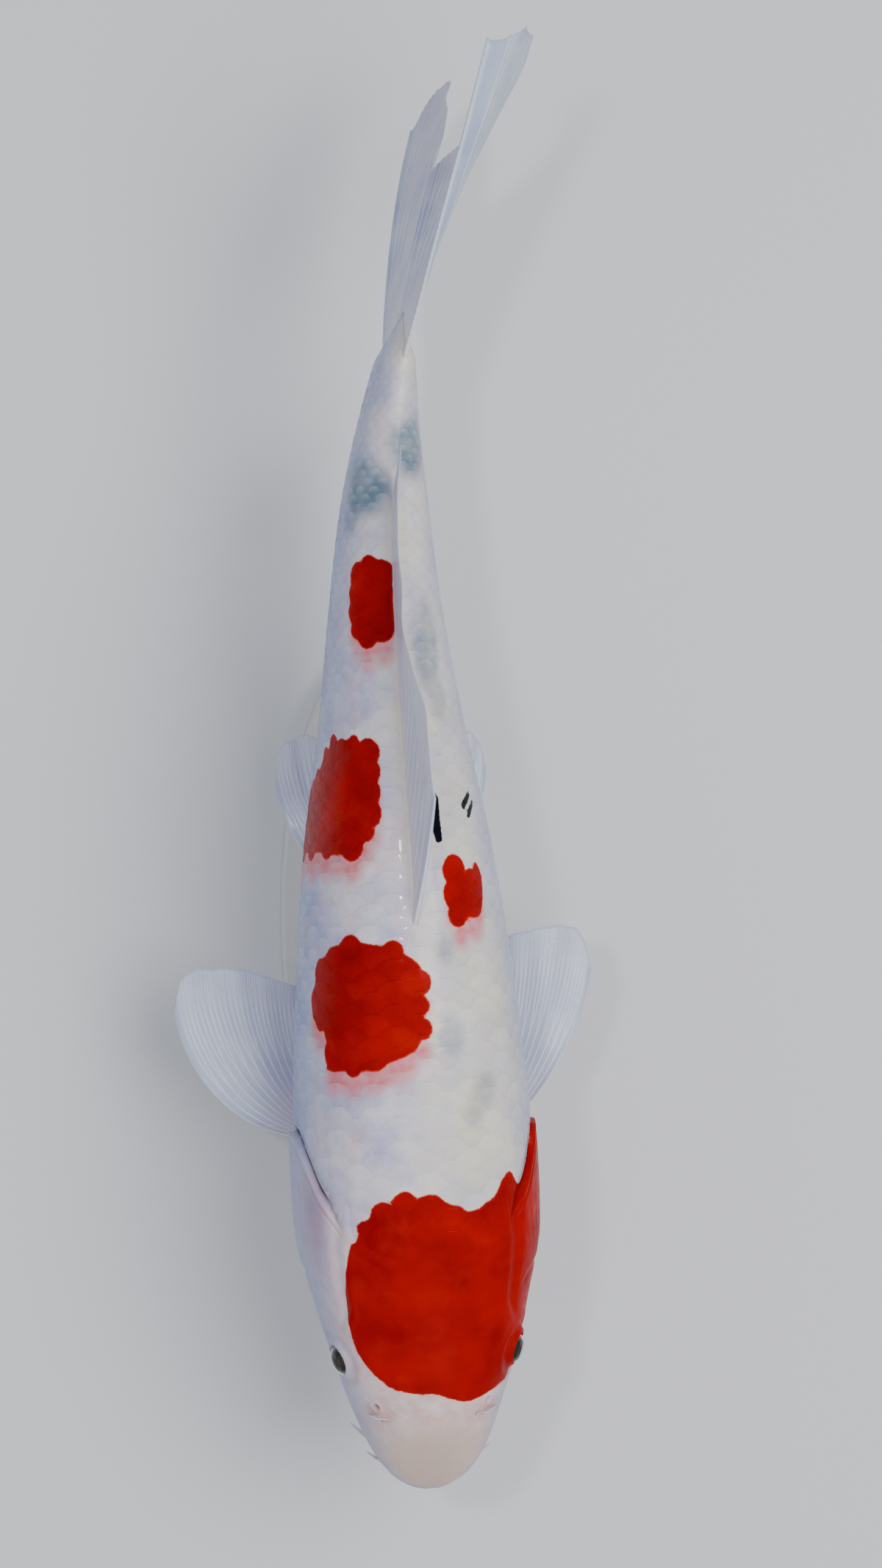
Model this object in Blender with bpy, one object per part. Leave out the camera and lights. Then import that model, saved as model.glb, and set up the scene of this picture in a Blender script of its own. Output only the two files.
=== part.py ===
"""A koi carp, life size, its tail swung gently to its left, held over a flat base by two rods.

The fish is laid out straight in "fish space" and then bent. A point there is (s, x, z):
s runs back from the tip of the snout, x goes out to the fish's left, and z up from its axis.
The head points to -Y, the fish's left side is +X, and the base stands on Z = 0.
All sizes are metres unless a name says otherwise.
"""

import math

import bmesh
import bpy
import numpy as np
from mathutils import Vector

MM = 0.001
GAP = 0.3 * MM  # left between pieces that meet

# Driving dimensions
BODY_LENGTH = 461 * MM  # tip of the snout to where the flesh ends in the tail fin
TOTAL_LENGTH = 577 * MM  # to the tip of the tail fin's upper lobe
AXIS_HEIGHT = 112 * MM  # of the fish's axis over the floor
STAND_AT = 205 * MM  # the s that lies over the middle of the base
TAIL_SWING = math.radians(20)  # how far the tail end points to the left
SWING_START, SWING_RUN = 300 * MM, 280 * MM  # where the spine starts to turn, and over what length
TAIL_TWIST = math.radians(9)  # how far the tail leans over to the left
TWIST_START, TWIST_RUN = 340 * MM, 200 * MM

# The body's three lengths: where each starts and ends, and how many rings it is skinned over
HEAD_END = 141 * MM
TRUNK_END = 346 * MM
LENGTHS = {
    "head": (0, HEAD_END, 16),
    "trunk": (HEAD_END + GAP, TRUNK_END, 18),
    "tail_stalk": (TRUNK_END + GAP, BODY_LENGTH, 12),
}
ROUND_BODY = 28  # points round each ring of the body

# Sections of the body, mm: s, half width, back line, belly line, level of the greatest width,
# and how full the section is above and below that level (2 is an ellipse, more is squarer).
STATIONS = (
    (0, 0.0, -9.0, -9.0, -9.0, 2.2, 2.2),  # tip of the snout
    (6, 14.9, 1.5, -20.5, -10.0, 2.3, 2.2),  # lips
    (18, 23.3, 12.0, -28.0, -11.0, 2.3, 2.2),  # corner of the mouth
    (34, 29.7, 21.5, -34.0, -12.0, 2.4, 2.2),  # nostrils
    (53, 35.6, 30.5, -39.5, -11.0, 2.6, 2.3),  # eyes
    (76, 41.9, 39.0, -45.5, -10.0, 2.5, 2.3),  # cheeks
    (104, 46.6, 47.5, -54.0, -9.0, 2.3, 2.4),  # gill covers
    (132, 46.7, 54.0, -59.0, -8.0, 2.2, 2.4),  # shoulders
    (165, 45.4, 59.5, -62.5, -5.0, 2.1, 2.4),
    (210, 41.5, 63.0, -64.0, -3.0, 2.05, 2.4),  # deepest, just before the back fin
    (250, 37.0, 61.0, -61.5, -2.0, 2.0, 2.3),  # belly fins
    (300, 28.5, 51.5, -51.5, 0.0, 2.0, 2.2),
    (345, 22.3, 40.5, -39.5, 0.0, 2.0, 2.1),  # vent
    (385, 17.4, 31.0, -29.5, 0.0, 2.0, 2.0),  # end of the back fin
    (420, 11.7, 26.5, -25.0, 0.0, 2.0, 2.0),  # wrist of the tail
    (448, 6.2, 27.0, -26.0, 0.0, 2.0, 2.0),  # root of the tail fin
    (461, 2.8, 18.0, -17.0, 0.0, 2.0, 2.0),
)

EYE = {"s": 56 * MM, "angle": math.radians(67), "sink": 3.6 * MM, "radius": 7.2 * MM}

# The gill cover's outline is an oval in s and in the angle down from the back.
GILL_COVER = {
    "s": 108 * MM,
    "half_length": 30 * MM,
    "angle": math.radians(97),
    "half_angle": math.radians(47),
    "lift_front": 0.4 * MM,
    "lift_rear": 2.0 * MM,
    "depth": 5 * MM,
    "room": 2 * GAP,  # left round the plate's edge
}
CHEEK_RADIUS = 45 * MM
EYE_SIDES, EYE_HOOPS = 16, 10

# The mouth's slit runs from "front", its height at the snout, to its corner. The jaw goes back to the throat.
MOUTH = {"front": -12 * MM, "corner_s": 21 * MM, "corner_z": -23 * MM, "throat_s": 46 * MM}
FAR = 70 * MM  # well clear of the body, for cutters

# Barbels: root s and angle down from the back, length, thickness, and how far out, back and down they point
BARBELS = {
    "upper": {"s": 12 * MM, "angle": 88, "length": 8 * MM, "radius": 0.8 * MM, "aim": (0.8, 0.15, -0.6)},
    "corner": {"s": 19 * MM, "angle": 112, "length": 15 * MM, "radius": 1.1 * MM, "aim": (0.55, 0.1, -0.8)},
}
BARBEL_ROOT = 1.5 * MM  # how far inside the skin a barbel starts
BARBEL_TAPER = 0.7
BARBEL_DROOP = Vector((0.2, 0, -0.25))  # how a barbel's tip hangs back and down, for its length

# A fin is a fan of rays. Its root line runs from "front" to "rear", each (s, angle down from the back),
# or (s, z) on the tail. A ray leaves at an angle from straight back, towards "out", and turns by
# "curl" on its way. Angles are degrees, for the first and the last ray. "lengths" are mm, evenly
# spaced from the first ray to the last. "billow" bellies the fan out of its plane by so many mm,
# and "lean" tips a lobe of the tail to the fish's left, for its height.
FINS = {
    "dorsal_fin": {
        "front": (224, 0), "rear": (385, 0), "out": (0.27, 0.963),
        "aim": (38, 15), "curl": (-16, -4), "lengths": (60, 62, 52, 42, 35, 30, 26, 22), "billow": 3.0,
    },
    "anal_fin": {
        "front": (352, 180), "rear": (380, 180), "out": (-0.05, -0.999),
        "aim": (38, 14), "curl": (-14, -4), "lengths": (52, 56, 48, 38, 30), "billow": 1.0,
    },
    "pelvic_fin_left": {
        "front": (240, 147), "rear": (253, 161), "out": (0.93, -0.37),
        "aim": (50, -2), "curl": (-50, -2), "lengths": (52, 56, 54, 47, 38), "billow": 3.0,
    },
    "pelvic_fin_right": {
        "front": (240, -147), "rear": (253, -161), "out": (-0.93, -0.37),
        "aim": (53, 2), "curl": (-56, -2), "lengths": (52, 56, 54, 47, 38), "billow": -3.0,
    },
    "pectoral_fin_left": {
        "front": (138, 117), "rear": (150, 138), "out": (0.98, -0.20),
        "aim": (50, -4), "curl": (-40, -2), "lengths": (77, 82, 77, 70, 61, 51), "billow": 5.0,
    },
    "pectoral_fin_right": {
        "front": (138, -117), "rear": (150, -138), "out": (-0.98, -0.20),
        "aim": (82, 2), "curl": (-90, -2), "lengths": (81, 78, 70, 61, 52, 46), "billow": -5.0,
    },
}
TAIL_FIN = {
    "tail_fin_upper": {
        "front": (440, 26), "rear": (447, 0.2), "out": (0, 1),
        "aim": (27, 1), "curl": (-16, -2), "lengths": (128, 138, 133, 118, 101, 86, 74),
        "billow": -20.0, "lean": -0.12,
    },
    "tail_fin_lower": {
        "front": (440, -25), "rear": (447, -0.2), "out": (0, -1),
        "aim": (27, 1), "curl": (-16, -2), "lengths": (118, 128, 124, 111, 97, 84, 74),
        "billow": 2.0, "lean": 0.0,
    },
}
FLAPS = {
    "nostril_flap_left": {
        "front": (30, 39), "rear": (32, 53), "out": (0.75, 0.66),
        "aim": (42, 30), "curl": (-30, -20), "lengths": (4.0, 6.0, 4.0), "billow": 0.5,
    },
    "nostril_flap_right": {
        "front": (30, -39), "rear": (32, -53), "out": (-0.75, 0.66),
        "aim": (42, 30), "curl": (-30, -20), "lengths": (4.0, 6.0, 4.0), "billow": -0.5,
    },
}
BILLOW_SKEW = 0.7  # under 1 the billow is fullest nearer to the first ray
BILLOW_RISE = 1.4  # how late along the rays the billow comes
FIN_ROOT_THICK, FIN_TIP_THICK = 1.6 * MM, 0.7 * MM
FIN_SINK = 6 * MM  # a fin starts this far inside the body, and is then cut off at the skin

STAND = {
    "length": 250 * MM,
    "width": 84 * MM,
    "thick": 12 * MM,
    "bevel": 1.5 * MM,
    "rod_radius": 4 * MM,
    "foot_radius": 11 * MM,
    "foot_thick": 3 * MM,
    "fillet": 1.5 * MM,  # where a rod meets its foot
    "edge": 0.5 * MM,  # bevel of the lower edges
    "sink": 14 * MM,  # how far a rod goes into the belly
}
RODS = {"stand_rod_front": 145 * MM, "stand_rod_rear": 270 * MM}

WHITE_SKIN = (0.80, 0.78, 0.80)
RED_SKIN = (0.55, 0.01, 0.005)
FIN_WHITE = (0.72, 0.76, 0.80)
EYE_DARK = (0.02, 0.015, 0.012)
STAND_PALE = (0.62, 0.62, 0.60)
ROD_STEEL = (0.60, 0.60, 0.60)


# ---- the curves of the body

def smooth_slopes(xs, ys):
    """Slopes for a cubic through the points that never overshoots them."""
    steps = np.diff(ys) / np.diff(xs)
    slopes = np.concatenate([steps[:1], np.zeros(len(xs) - 2), steps[-1:]])
    for i in range(1, len(xs) - 1):
        if steps[i - 1] * steps[i] > 0:
            slopes[i] = 2 * steps[i - 1] * steps[i] / (steps[i - 1] + steps[i])
    return slopes


def smooth_curve(xs, ys, slopes, x):
    i = int(np.clip(np.searchsorted(xs, x) - 1, 0, len(xs) - 2))
    width = xs[i + 1] - xs[i]
    t = (x - xs[i]) / width
    return (
        ys[i] * (1 + 2 * t) * (1 - t) ** 2
        + ys[i + 1] * t * t * (3 - 2 * t)
        + slopes[i] * width * t * (1 - t) ** 2
        + slopes[i + 1] * width * t * t * (t - 1)
    )


# The stations are read over the square root of s, which rounds the snout.
STATION_TABLE = np.array(STATIONS) * ([MM] * 5 + [1, 1])
STATION_ROOTS = np.sqrt(STATION_TABLE[:, 0])
STATION_COLUMNS = [(column, smooth_slopes(STATION_ROOTS, column)) for column in STATION_TABLE[:, 1:].T]


def body_sizes(s):
    """Half width, back line, belly line, widest level, fullness above it and below it."""
    root = math.sqrt(min(max(s, 0), BODY_LENGTH))
    return [smooth_curve(STATION_ROOTS, column, slopes, root) for column, slopes in STATION_COLUMNS]


def skin_point(s, angle, swell=0.0):
    """The fish-space point on the body at this angle down from the back, pushed out by swell."""
    half, back, belly, level, full_above, full_below = body_sizes(s)
    above = math.cos(angle) >= 0
    height = back - level if above else level - belly
    full = full_above if above else full_below
    side, up = math.copysign(1, math.sin(angle)), math.copysign(1, math.cos(angle))
    across = abs(math.sin(angle)) ** (2 / full)
    along = abs(math.cos(angle)) ** (2 / full)
    outward = side * across ** (full - 1) / max(half, MM)
    upward = up * along ** (full - 1) / max(height, MM)
    normal = Vector((0, outward, upward)).normalized()
    return Vector((s, side * half * across, level + up * height * along)) + normal * swell


def eased(s, start, run):
    """0 before start, 1 after the run, and smooth between."""
    share = np.clip((s - start) / run, 0, 1)
    return share**2 * (3 - 2 * share)


SPINE_STEP = 0.5 * MM
SPINE_S = np.arange(0, TOTAL_LENGTH + 40 * MM, SPINE_STEP)
SPINE_HEADING = TAIL_SWING * eased(SPINE_S, SWING_START, SWING_RUN)
SPINE_X = np.concatenate([[0], np.cumsum(np.sin(SPINE_HEADING[:-1])) * SPINE_STEP])
SPINE_Y = np.concatenate([[0], np.cumsum(np.cos(SPINE_HEADING[:-1])) * SPINE_STEP])


def bend(point):
    """Takes a fish-space point to its place on the bent fish."""
    s, x, z = point
    beyond = min(s, 0)  # ahead of the snout the spine runs on straight
    heading = np.interp(s, SPINE_S, SPINE_HEADING)
    twist = TAIL_TWIST * eased(s, TWIST_START, TWIST_RUN)
    out = x * math.cos(twist) + z * math.sin(twist)
    return Vector((
        np.interp(s, SPINE_S, SPINE_X) + math.cos(heading) * out,
        np.interp(s, SPINE_S, SPINE_Y) - math.sin(heading) * out + beyond - STAND_AT,
        AXIS_HEIGHT + z * math.cos(twist) - x * math.sin(twist),
    ))


# ---- building meshes

def material(name, colour, roughness=0.35, metallic=0.0):
    made = bpy.data.materials.new(name)
    made.use_nodes = True
    shader = made.node_tree.nodes["Principled BSDF"]
    shader.inputs["Base Color"].default_value = (*colour, 1)
    shader.inputs["Roughness"].default_value = roughness
    shader.inputs["Metallic"].default_value = metallic
    return made


def add_object(name, mesh, look=None):
    obj = bpy.data.objects.new(name, mesh)
    bpy.context.scene.collection.objects.link(obj)
    if look is None:
        obj.hide_render = True
        obj.display_type = "WIRE"
    else:
        mesh.materials.append(look)
        mesh.shade_smooth()
        mesh.set_sharp_from_angle(angle=math.radians(50))
    return obj


def from_faces(name, points, faces, look=None):
    """An object from points and faces, with its faces turned outwards."""
    made = bmesh.new()
    corners = [made.verts.new(p) for p in points]
    for face in faces:
        made.faces.new([corners[i] for i in face])
    bmesh.ops.recalc_face_normals(made, faces=made.faces)
    mesh = bpy.data.meshes.new(name)
    made.to_mesh(mesh)
    made.free()
    return add_object(name, mesh, look)


def from_rings(name, rings, look=None):
    """A closed skin over a row of rings. A ring of one point is a tip, and the others are capped."""
    points = [p for ring in rings for p in ring]
    starts = np.cumsum([0] + [len(ring) for ring in rings])
    faces = []
    for first, second, ring, following in zip(starts, starts[1:], rings, rings[1:]):
        count = max(len(ring), len(following))
        for i in range(count):
            j = (i + 1) % count
            if len(ring) == 1:
                faces.append((first, second + i, second + j))
            elif len(following) == 1:
                faces.append((first + i, second, first + j))
            else:
                faces.append((first + i, second + i, second + j, first + j))
    for start, ring in ((starts[0], rings[0]), (starts[-2], rings[-1])):
        if len(ring) > 1:
            faces.append(tuple(range(start, start + len(ring))))
    return from_faces(name, points, faces, look)


def boolean(obj, cutter, operation="DIFFERENCE"):
    """Cuts obj, and leaves the cutter in the scene as a helper."""
    cut = obj.modifiers.new(f"{operation} {cutter.name}", "BOOLEAN")
    cut.operation = operation
    cut.object = cutter


# ---- the body

def body_ring(s, swell=0.0):
    return [bend(skin_point(s, 2 * math.pi * i / ROUND_BODY, swell)) for i in range(ROUND_BODY)]


def ring_places(name):
    """The s of each ring. They crowd towards the snout, where the body swells fastest."""
    start, end, rings = LENGTHS[name]
    return list(np.linspace(math.sqrt(start), math.sqrt(end), rings) ** 2)


def body_length(name, places, look=None, swell=0.0):
    rings = [body_ring(s, swell) for s in places if s > 0]
    if places[0] == 0:
        rings.insert(0, [bend(skin_point(0, 0) - Vector((swell, 0, 0)))])
    return from_rings(name, rings, look)


def body_clearance():
    """The whole body swollen by the gap, to cut what grows out of it off at the skin."""
    places = [s for name in LENGTHS for s in ring_places(name)]
    return body_length("body_clearance", [*places, BODY_LENGTH + GAP], swell=GAP)


def ball(name, centre, radius, look=None):
    made = bmesh.new()
    bmesh.ops.create_uvsphere(made, u_segments=EYE_SIDES, v_segments=EYE_HOOPS, radius=radius)
    mesh = bpy.data.meshes.new(name)
    made.to_mesh(mesh)
    made.free()
    obj = add_object(name, mesh, look)
    obj.location = bend(centre)
    return obj


def gill_plate(name, side, look=None, grow=0.0, lift=0.0):
    """A gill cover: an oval plate that follows the cheek and stands off it towards the rear."""
    cover = GILL_COVER
    spokes, hoops = 24, (0, 0.4, 0.75, 1)
    grow_angle = grow / CHEEK_RADIUS

    def place(hoop, spoke, outer):
        turn = 2 * math.pi * spoke / spokes
        back = hoop * math.cos(turn)
        s = cover["s"] + (cover["half_length"] + grow) * back
        angle = cover["angle"] + (cover["half_angle"] + grow_angle) * hoop * math.sin(turn)
        share = (1 + back) / 2
        rise = cover["lift_front"] + (cover["lift_rear"] - cover["lift_front"]) * share + lift
        return bend(skin_point(s, side * angle, rise if outer else -cover["depth"] - grow))

    outside = [[place(hoop, i, True) for i in range(spokes)] for hoop in hoops[1:]]
    inside = [[place(hoop, i, False) for i in range(spokes)] for hoop in hoops[1:]]
    return from_rings(name, [[place(0, 0, True)], *outside, *inside[::-1], [place(0, 0, False)]], look)


def jaw_wedge(name, lowered):
    """The wedge under the mouth that holds the lower jaw, its upper faces lowered a little."""
    side = [
        (-FAR, MOUTH["front"] - lowered),
        (0, MOUTH["front"] - lowered),
        (MOUTH["corner_s"] - lowered, MOUTH["corner_z"] - lowered),
        (MOUTH["throat_s"] - lowered, -FAR),
        (-FAR, -FAR),
    ]
    rings = [[bend(Vector((s, x, z))) for s, z in side] for x in (-FAR, FAR)]
    return from_rings(name, rings)


def barbel(name, side, spec, look):
    """A soft feeler that tapers to its tip and droops."""
    sides, joints = 8, 6
    root = skin_point(spec["s"], side * math.radians(spec["angle"]), -BARBEL_ROOT)
    out, back, down = spec["aim"]
    aim = Vector((back, side * out, down)).normalized()
    across = aim.cross(Vector((1, 0, 0))).normalized()
    other = aim.cross(across)

    def centre(share):
        return root + (aim * share + BARBEL_DROOP * share**2) * spec["length"]

    rings = []
    for joint in range(joints):
        share = joint / joints
        radius = spec["radius"] * (1 - BARBEL_TAPER * share)
        turns = [2 * math.pi * i / sides for i in range(sides)]
        rings.append([
            bend(centre(share) + (across * math.cos(t) + other * math.sin(t)) * radius) for t in turns
        ])
    return from_rings(name, [*rings, [bend(centre(1))]], look)


# ---- the fins

def between(pair, share):
    return pair[0] + (pair[1] - pair[0]) * share


def fin_root(spec, share, on_tail):
    s = between((spec["front"][0], spec["rear"][0]), share) * MM
    place = between((spec["front"][1], spec["rear"][1]), share)
    if on_tail:
        return Vector((s, 0, place * MM))
    return skin_point(s, math.radians(place))


def fin_point(spec, share, along, on_tail=False):
    """The fish-space point on a fin: share is the ray from first (0) to last (1), along its length."""
    lengths = spec["lengths"]
    length = np.interp(share * (len(lengths) - 1), range(len(lengths)), lengths) * MM
    aim = math.radians(between(spec["aim"], share))
    curl = math.radians(between(spec["curl"], share))
    back_way, out_way = Vector((1, 0, 0)), Vector((0, *spec["out"]))
    reach = length * along
    if along <= 0:
        reach = FIN_SINK * along
        turn = aim
    else:
        turn = aim + curl * along / 2  # the chord of an arc that turns by curl
    point = fin_root(spec, share, on_tail) + (back_way * math.cos(turn) + out_way * math.sin(turn)) * reach
    belly = spec["billow"] * MM * math.sin(math.pi * share**BILLOW_SKEW) * max(0, along) ** BILLOW_RISE
    point += back_way.cross(out_way) * belly
    if on_tail:
        behind = max(0, point.x - BODY_LENGTH) / (TOTAL_LENGTH - BODY_LENGTH)
        point.y += spec["lean"] * point.z * behind
    return point


def fin(name, spec, look, rays=12, joints=6, on_tail=False):
    """A solid plate through the fan of rays, thinner towards its free edge."""
    shares = np.linspace(0, 1, rays)
    alongs = [-1, *np.linspace(0, 1, joints)]
    middle = np.array([[bend(fin_point(spec, a, b, on_tail)) for b in alongs] for a in shares])
    normals = np.cross(np.gradient(middle, axis=0), np.gradient(middle, axis=1))
    normals /= np.linalg.norm(normals, axis=2, keepdims=True)
    taper = np.array([between((FIN_ROOT_THICK, FIN_TIP_THICK), max(0, b)) for b in alongs])
    offset = normals * taper[None, :, None] / 2
    count = len(alongs)
    points = [*(middle + offset).reshape(-1, 3), *(middle - offset).reshape(-1, 3)]
    under = rays * count
    faces = []
    for i in range(rays - 1):
        for j in range(count - 1):
            a, b, c, d = i * count + j, (i + 1) * count + j, (i + 1) * count + j + 1, i * count + j + 1
            faces += [(a, b, c, d), (under + d, under + c, under + b, under + a)]
    edge = [i * count for i in range(rays)]
    edge += [(rays - 1) * count + j for j in range(1, count)]
    edge += [i * count + count - 1 for i in range(rays - 2, -1, -1)]
    edge += list(range(count - 2, 0, -1))
    for a, b in zip(edge, edge[1:] + edge[:1]):
        faces.append((a, under + a, under + b, b))
    return from_faces(name, points, faces, look)


# ---- the stand

def turned(name, s, profile, look=None, sides=20):
    """A round piece on a vertical axis under the fish at s, from (radius, height) pairs."""
    y = s - STAND_AT
    turns = [2 * math.pi * i / sides for i in range(sides)]
    rings = [[Vector((r * math.cos(t), y + r * math.sin(t), z)) for t in turns] for r, z in profile]
    return from_rings(name, rings, look)


def stand_base(look):
    """A flat oval plate with a bevelled upper edge."""
    bevel, edge, thick = STAND["bevel"], STAND["edge"], STAND["thick"]
    sides = 48

    def outline(inset, z):
        turns = [2 * math.pi * i / sides for i in range(sides)]
        across, along = STAND["width"] / 2 - inset, STAND["length"] / 2 - inset
        return [Vector((across * math.cos(turn), along * math.sin(turn), z)) for turn in turns]

    levels = ((edge, 0), (0, edge), (0, thick - bevel), (bevel, thick))
    return from_rings("stand_base", [outline(inset, z) for inset, z in levels], look)


def stand_rod(name, s, look):
    """A rod on a round foot. Its top goes into the belly."""
    radius, foot, edge, fillet = (STAND[key] for key in ("rod_radius", "foot_radius", "edge", "fillet"))
    floor = STAND["thick"] + GAP
    foot_top = floor + STAND["foot_thick"]
    profile = [
        (foot - edge, floor),
        (foot, floor + edge),
        (foot, foot_top - 2 * edge),
        (foot - 2 * edge, foot_top),
        (radius + fillet, foot_top),
        (radius, foot_top + fillet),
        (radius, AXIS_HEIGHT + body_sizes(s)[2] + STAND["sink"]),
    ]
    return turned(name, s, profile, look)


def rod_socket(s):
    """The hole in the belly that a rod goes into."""
    radius = STAND["rod_radius"] + GAP
    top = AXIS_HEIGHT + body_sizes(s)[2] + STAND["sink"] + GAP
    return turned(f"socket_{s / MM:.0f}", s, [(radius, 0), (radius, top)])


# ---- putting it together

def build_body():
    white = material("white_skin", WHITE_SKIN, 0.3)
    red = material("red_skin", RED_SKIN, 0.3)
    dark = material("eye", EYE_DARK, 0.05)
    head = body_length("head", ring_places("head"), red)
    boolean(head, jaw_wedge("jaw_room", 0))
    jaw = body_length("lower_jaw", ring_places("head"), white)
    boolean(jaw, jaw_wedge("jaw_shape", GAP), "INTERSECT")
    clearance = body_clearance()
    for side, word in ((1, "left"), (-1, "right")):
        centre = skin_point(EYE["s"], side * EYE["angle"], -EYE["sink"])
        ball(f"eye_{word}", centre, EYE["radius"], dark)
        boolean(head, ball(f"eye_socket_{word}", centre, EYE["radius"] + GAP))
        gill_plate(f"gill_cover_{word}", side, white)
        room, depth = GILL_COVER["room"], GILL_COVER["depth"]
        boolean(head, gill_plate(f"gill_room_{word}", side, grow=room, lift=depth))
        for kind, spec in BARBELS.items():
            boolean(barbel(f"barbel_{kind}_{word}", side, spec, white), clearance)
    trunk = body_length("trunk", ring_places("trunk"), white)
    body_length("tail_stalk", ring_places("tail_stalk"), white)
    for name, s in RODS.items():
        boolean(trunk, rod_socket(s))
    return clearance


def build_fins(clearance):
    look = material("fin", FIN_WHITE, 0.4)
    for name, spec in FINS.items():
        boolean(fin(name, spec, look), clearance)
    for name, spec in TAIL_FIN.items():
        boolean(fin(name, spec, look, on_tail=True), clearance)
    for name, spec in FLAPS.items():
        boolean(fin(name, spec, look, rays=5, joints=3), clearance)


def build_stand():
    stand_base(material("stand_base", STAND_PALE, 0.5))
    steel = material("stand_rod", ROD_STEEL, 0.3, 1.0)
    for name, s in RODS.items():
        stand_rod(name, s, steel)


def main():
    for obj in list(bpy.data.objects):
        bpy.data.objects.remove(obj)
    build_fins(build_body())
    build_stand()


main()
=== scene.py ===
import math
import re

import bmesh
import bpy
import numpy as np
from mathutils import Matrix, Vector


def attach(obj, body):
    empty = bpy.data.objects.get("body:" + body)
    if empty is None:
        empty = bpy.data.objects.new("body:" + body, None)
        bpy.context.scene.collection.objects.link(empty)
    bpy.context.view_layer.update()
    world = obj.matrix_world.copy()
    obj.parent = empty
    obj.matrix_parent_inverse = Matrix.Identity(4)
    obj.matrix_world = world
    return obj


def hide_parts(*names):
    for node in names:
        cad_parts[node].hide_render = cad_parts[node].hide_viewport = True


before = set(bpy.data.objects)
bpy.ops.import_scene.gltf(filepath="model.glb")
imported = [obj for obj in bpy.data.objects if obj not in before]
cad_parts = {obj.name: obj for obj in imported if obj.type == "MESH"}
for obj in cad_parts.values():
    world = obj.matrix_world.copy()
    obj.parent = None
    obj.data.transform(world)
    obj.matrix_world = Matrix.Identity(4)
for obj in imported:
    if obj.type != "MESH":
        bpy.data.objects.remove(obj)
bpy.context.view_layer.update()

mm = 0.001
dice = np.random.default_rng(7)


# The fish is laid out straight as (s, x, z) and then bent: s runs back from the snout,
# x goes to the fish's left and z up from its axis. "girth" is the way round from the back.
body = {
    "length": 461 * mm,
    "totalLength": 577 * mm,
    "axisHeight": 112 * mm,
    "overBase": 205 * mm,  # the s over the middle of the base
    "fleshFades": 440 * mm,  # from here the flesh thins into the tail fin
    "fleshThins": 0.72,
    "tailSwing": math.radians(20),
    "swingFrom": 300 * mm,
    "swingRun": 280 * mm,
    "tailTwist": math.radians(9),
    "twistFrom": 340 * mm,
    "twistRun": 200 * mm,
    # s, half width, back, belly, widest level, fullness above and below, lengths in mm
    "sections": (
        (0, 0.0, -9.0, -9.0, -9.0, 2.2, 2.2),
        (6, 14.9, 1.5, -20.5, -10.0, 2.3, 2.2),
        (18, 23.3, 12.0, -28.0, -11.0, 2.3, 2.2),
        (34, 29.7, 21.5, -34.0, -12.0, 2.4, 2.2),
        (53, 35.6, 30.5, -39.5, -11.0, 2.6, 2.3),
        (76, 41.9, 39.0, -45.5, -10.0, 2.5, 2.3),
        (104, 46.6, 47.5, -54.0, -9.0, 2.3, 2.4),
        (132, 46.7, 54.0, -59.0, -8.0, 2.2, 2.4),
        (165, 45.4, 59.5, -62.5, -5.0, 2.1, 2.4),
        (210, 41.5, 63.0, -64.0, -3.0, 2.05, 2.4),
        (250, 37.0, 61.0, -61.5, -2.0, 2.0, 2.3),
        (300, 28.5, 51.5, -51.5, 0.0, 2.0, 2.2),
        (345, 22.3, 40.5, -39.5, 0.0, 2.0, 2.1),
        (385, 17.4, 31.0, -29.5, 0.0, 2.0, 2.0),
        (420, 11.7, 26.5, -25.0, 0.0, 2.0, 2.0),
        (448, 6.2, 27.0, -26.0, 0.0, 2.0, 2.0),
        (461, 2.8, 18.0, -17.0, 0.0, 2.0, 2.0),
    ),
}


def eased(value, start, run):
    # 0 up to the start, then a soft climb to 1
    share = np.clip((value - start) / run, 0, 1)
    return share**2 * (3 - 2 * share)


def fading(value, end, run):
    # 1 at first, then a soft fall to 0 at the end
    return eased(-value, -end, run)


def within(value, start, rise, end, fall):
    return eased(value, start, rise) * fading(value, end, fall)


def bump(value, at, width):
    return np.exp(-(((value - at) / width) ** 2))


def between(ends, share):
    return ends[0] + (ends[1] - ends[0]) * share


def gentleSlopes(xs, ys):
    # slopes for a cubic that never overshoots its points
    steps = np.diff(ys) / np.diff(xs)
    before, after = steps[:-1], steps[1:]
    agree = before * after > 0
    inner = np.where(agree, 2 * before * after / np.where(agree, before + after, 1), 0)
    return np.concatenate([steps[:1], inner, steps[-1:]])


def sectionTable(count=1800):
    # every section measure over an even run of the square root of s, which rounds the snout
    rows = np.array(body["sections"]) * ([mm] * 5 + [1, 1])
    roots = np.sqrt(rows[:, 0])
    fine = np.linspace(0, roots[-1], count)
    at = np.clip(np.searchsorted(roots, fine) - 1, 0, len(roots) - 2)
    width = roots[at + 1] - roots[at]
    t = (fine - roots[at]) / width
    table = []
    for ys in rows[:, 1:].T:
        slopes = gentleSlopes(roots, ys)
        table.append(
            ys[at] * (1 + 2 * t) * (1 - t) ** 2
            + ys[at + 1] * t * t * (3 - 2 * t)
            + slopes[at] * width * t * (1 - t) ** 2
            + slopes[at + 1] * width * t * t * (t - 1)
        )
    return fine, table


sectionRoots, sectionColumns = sectionTable()


def bodySizes(s):
    root = np.sqrt(np.clip(s, 0, body["length"]))
    return [np.interp(root, sectionRoots, column) for column in sectionColumns]


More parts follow.
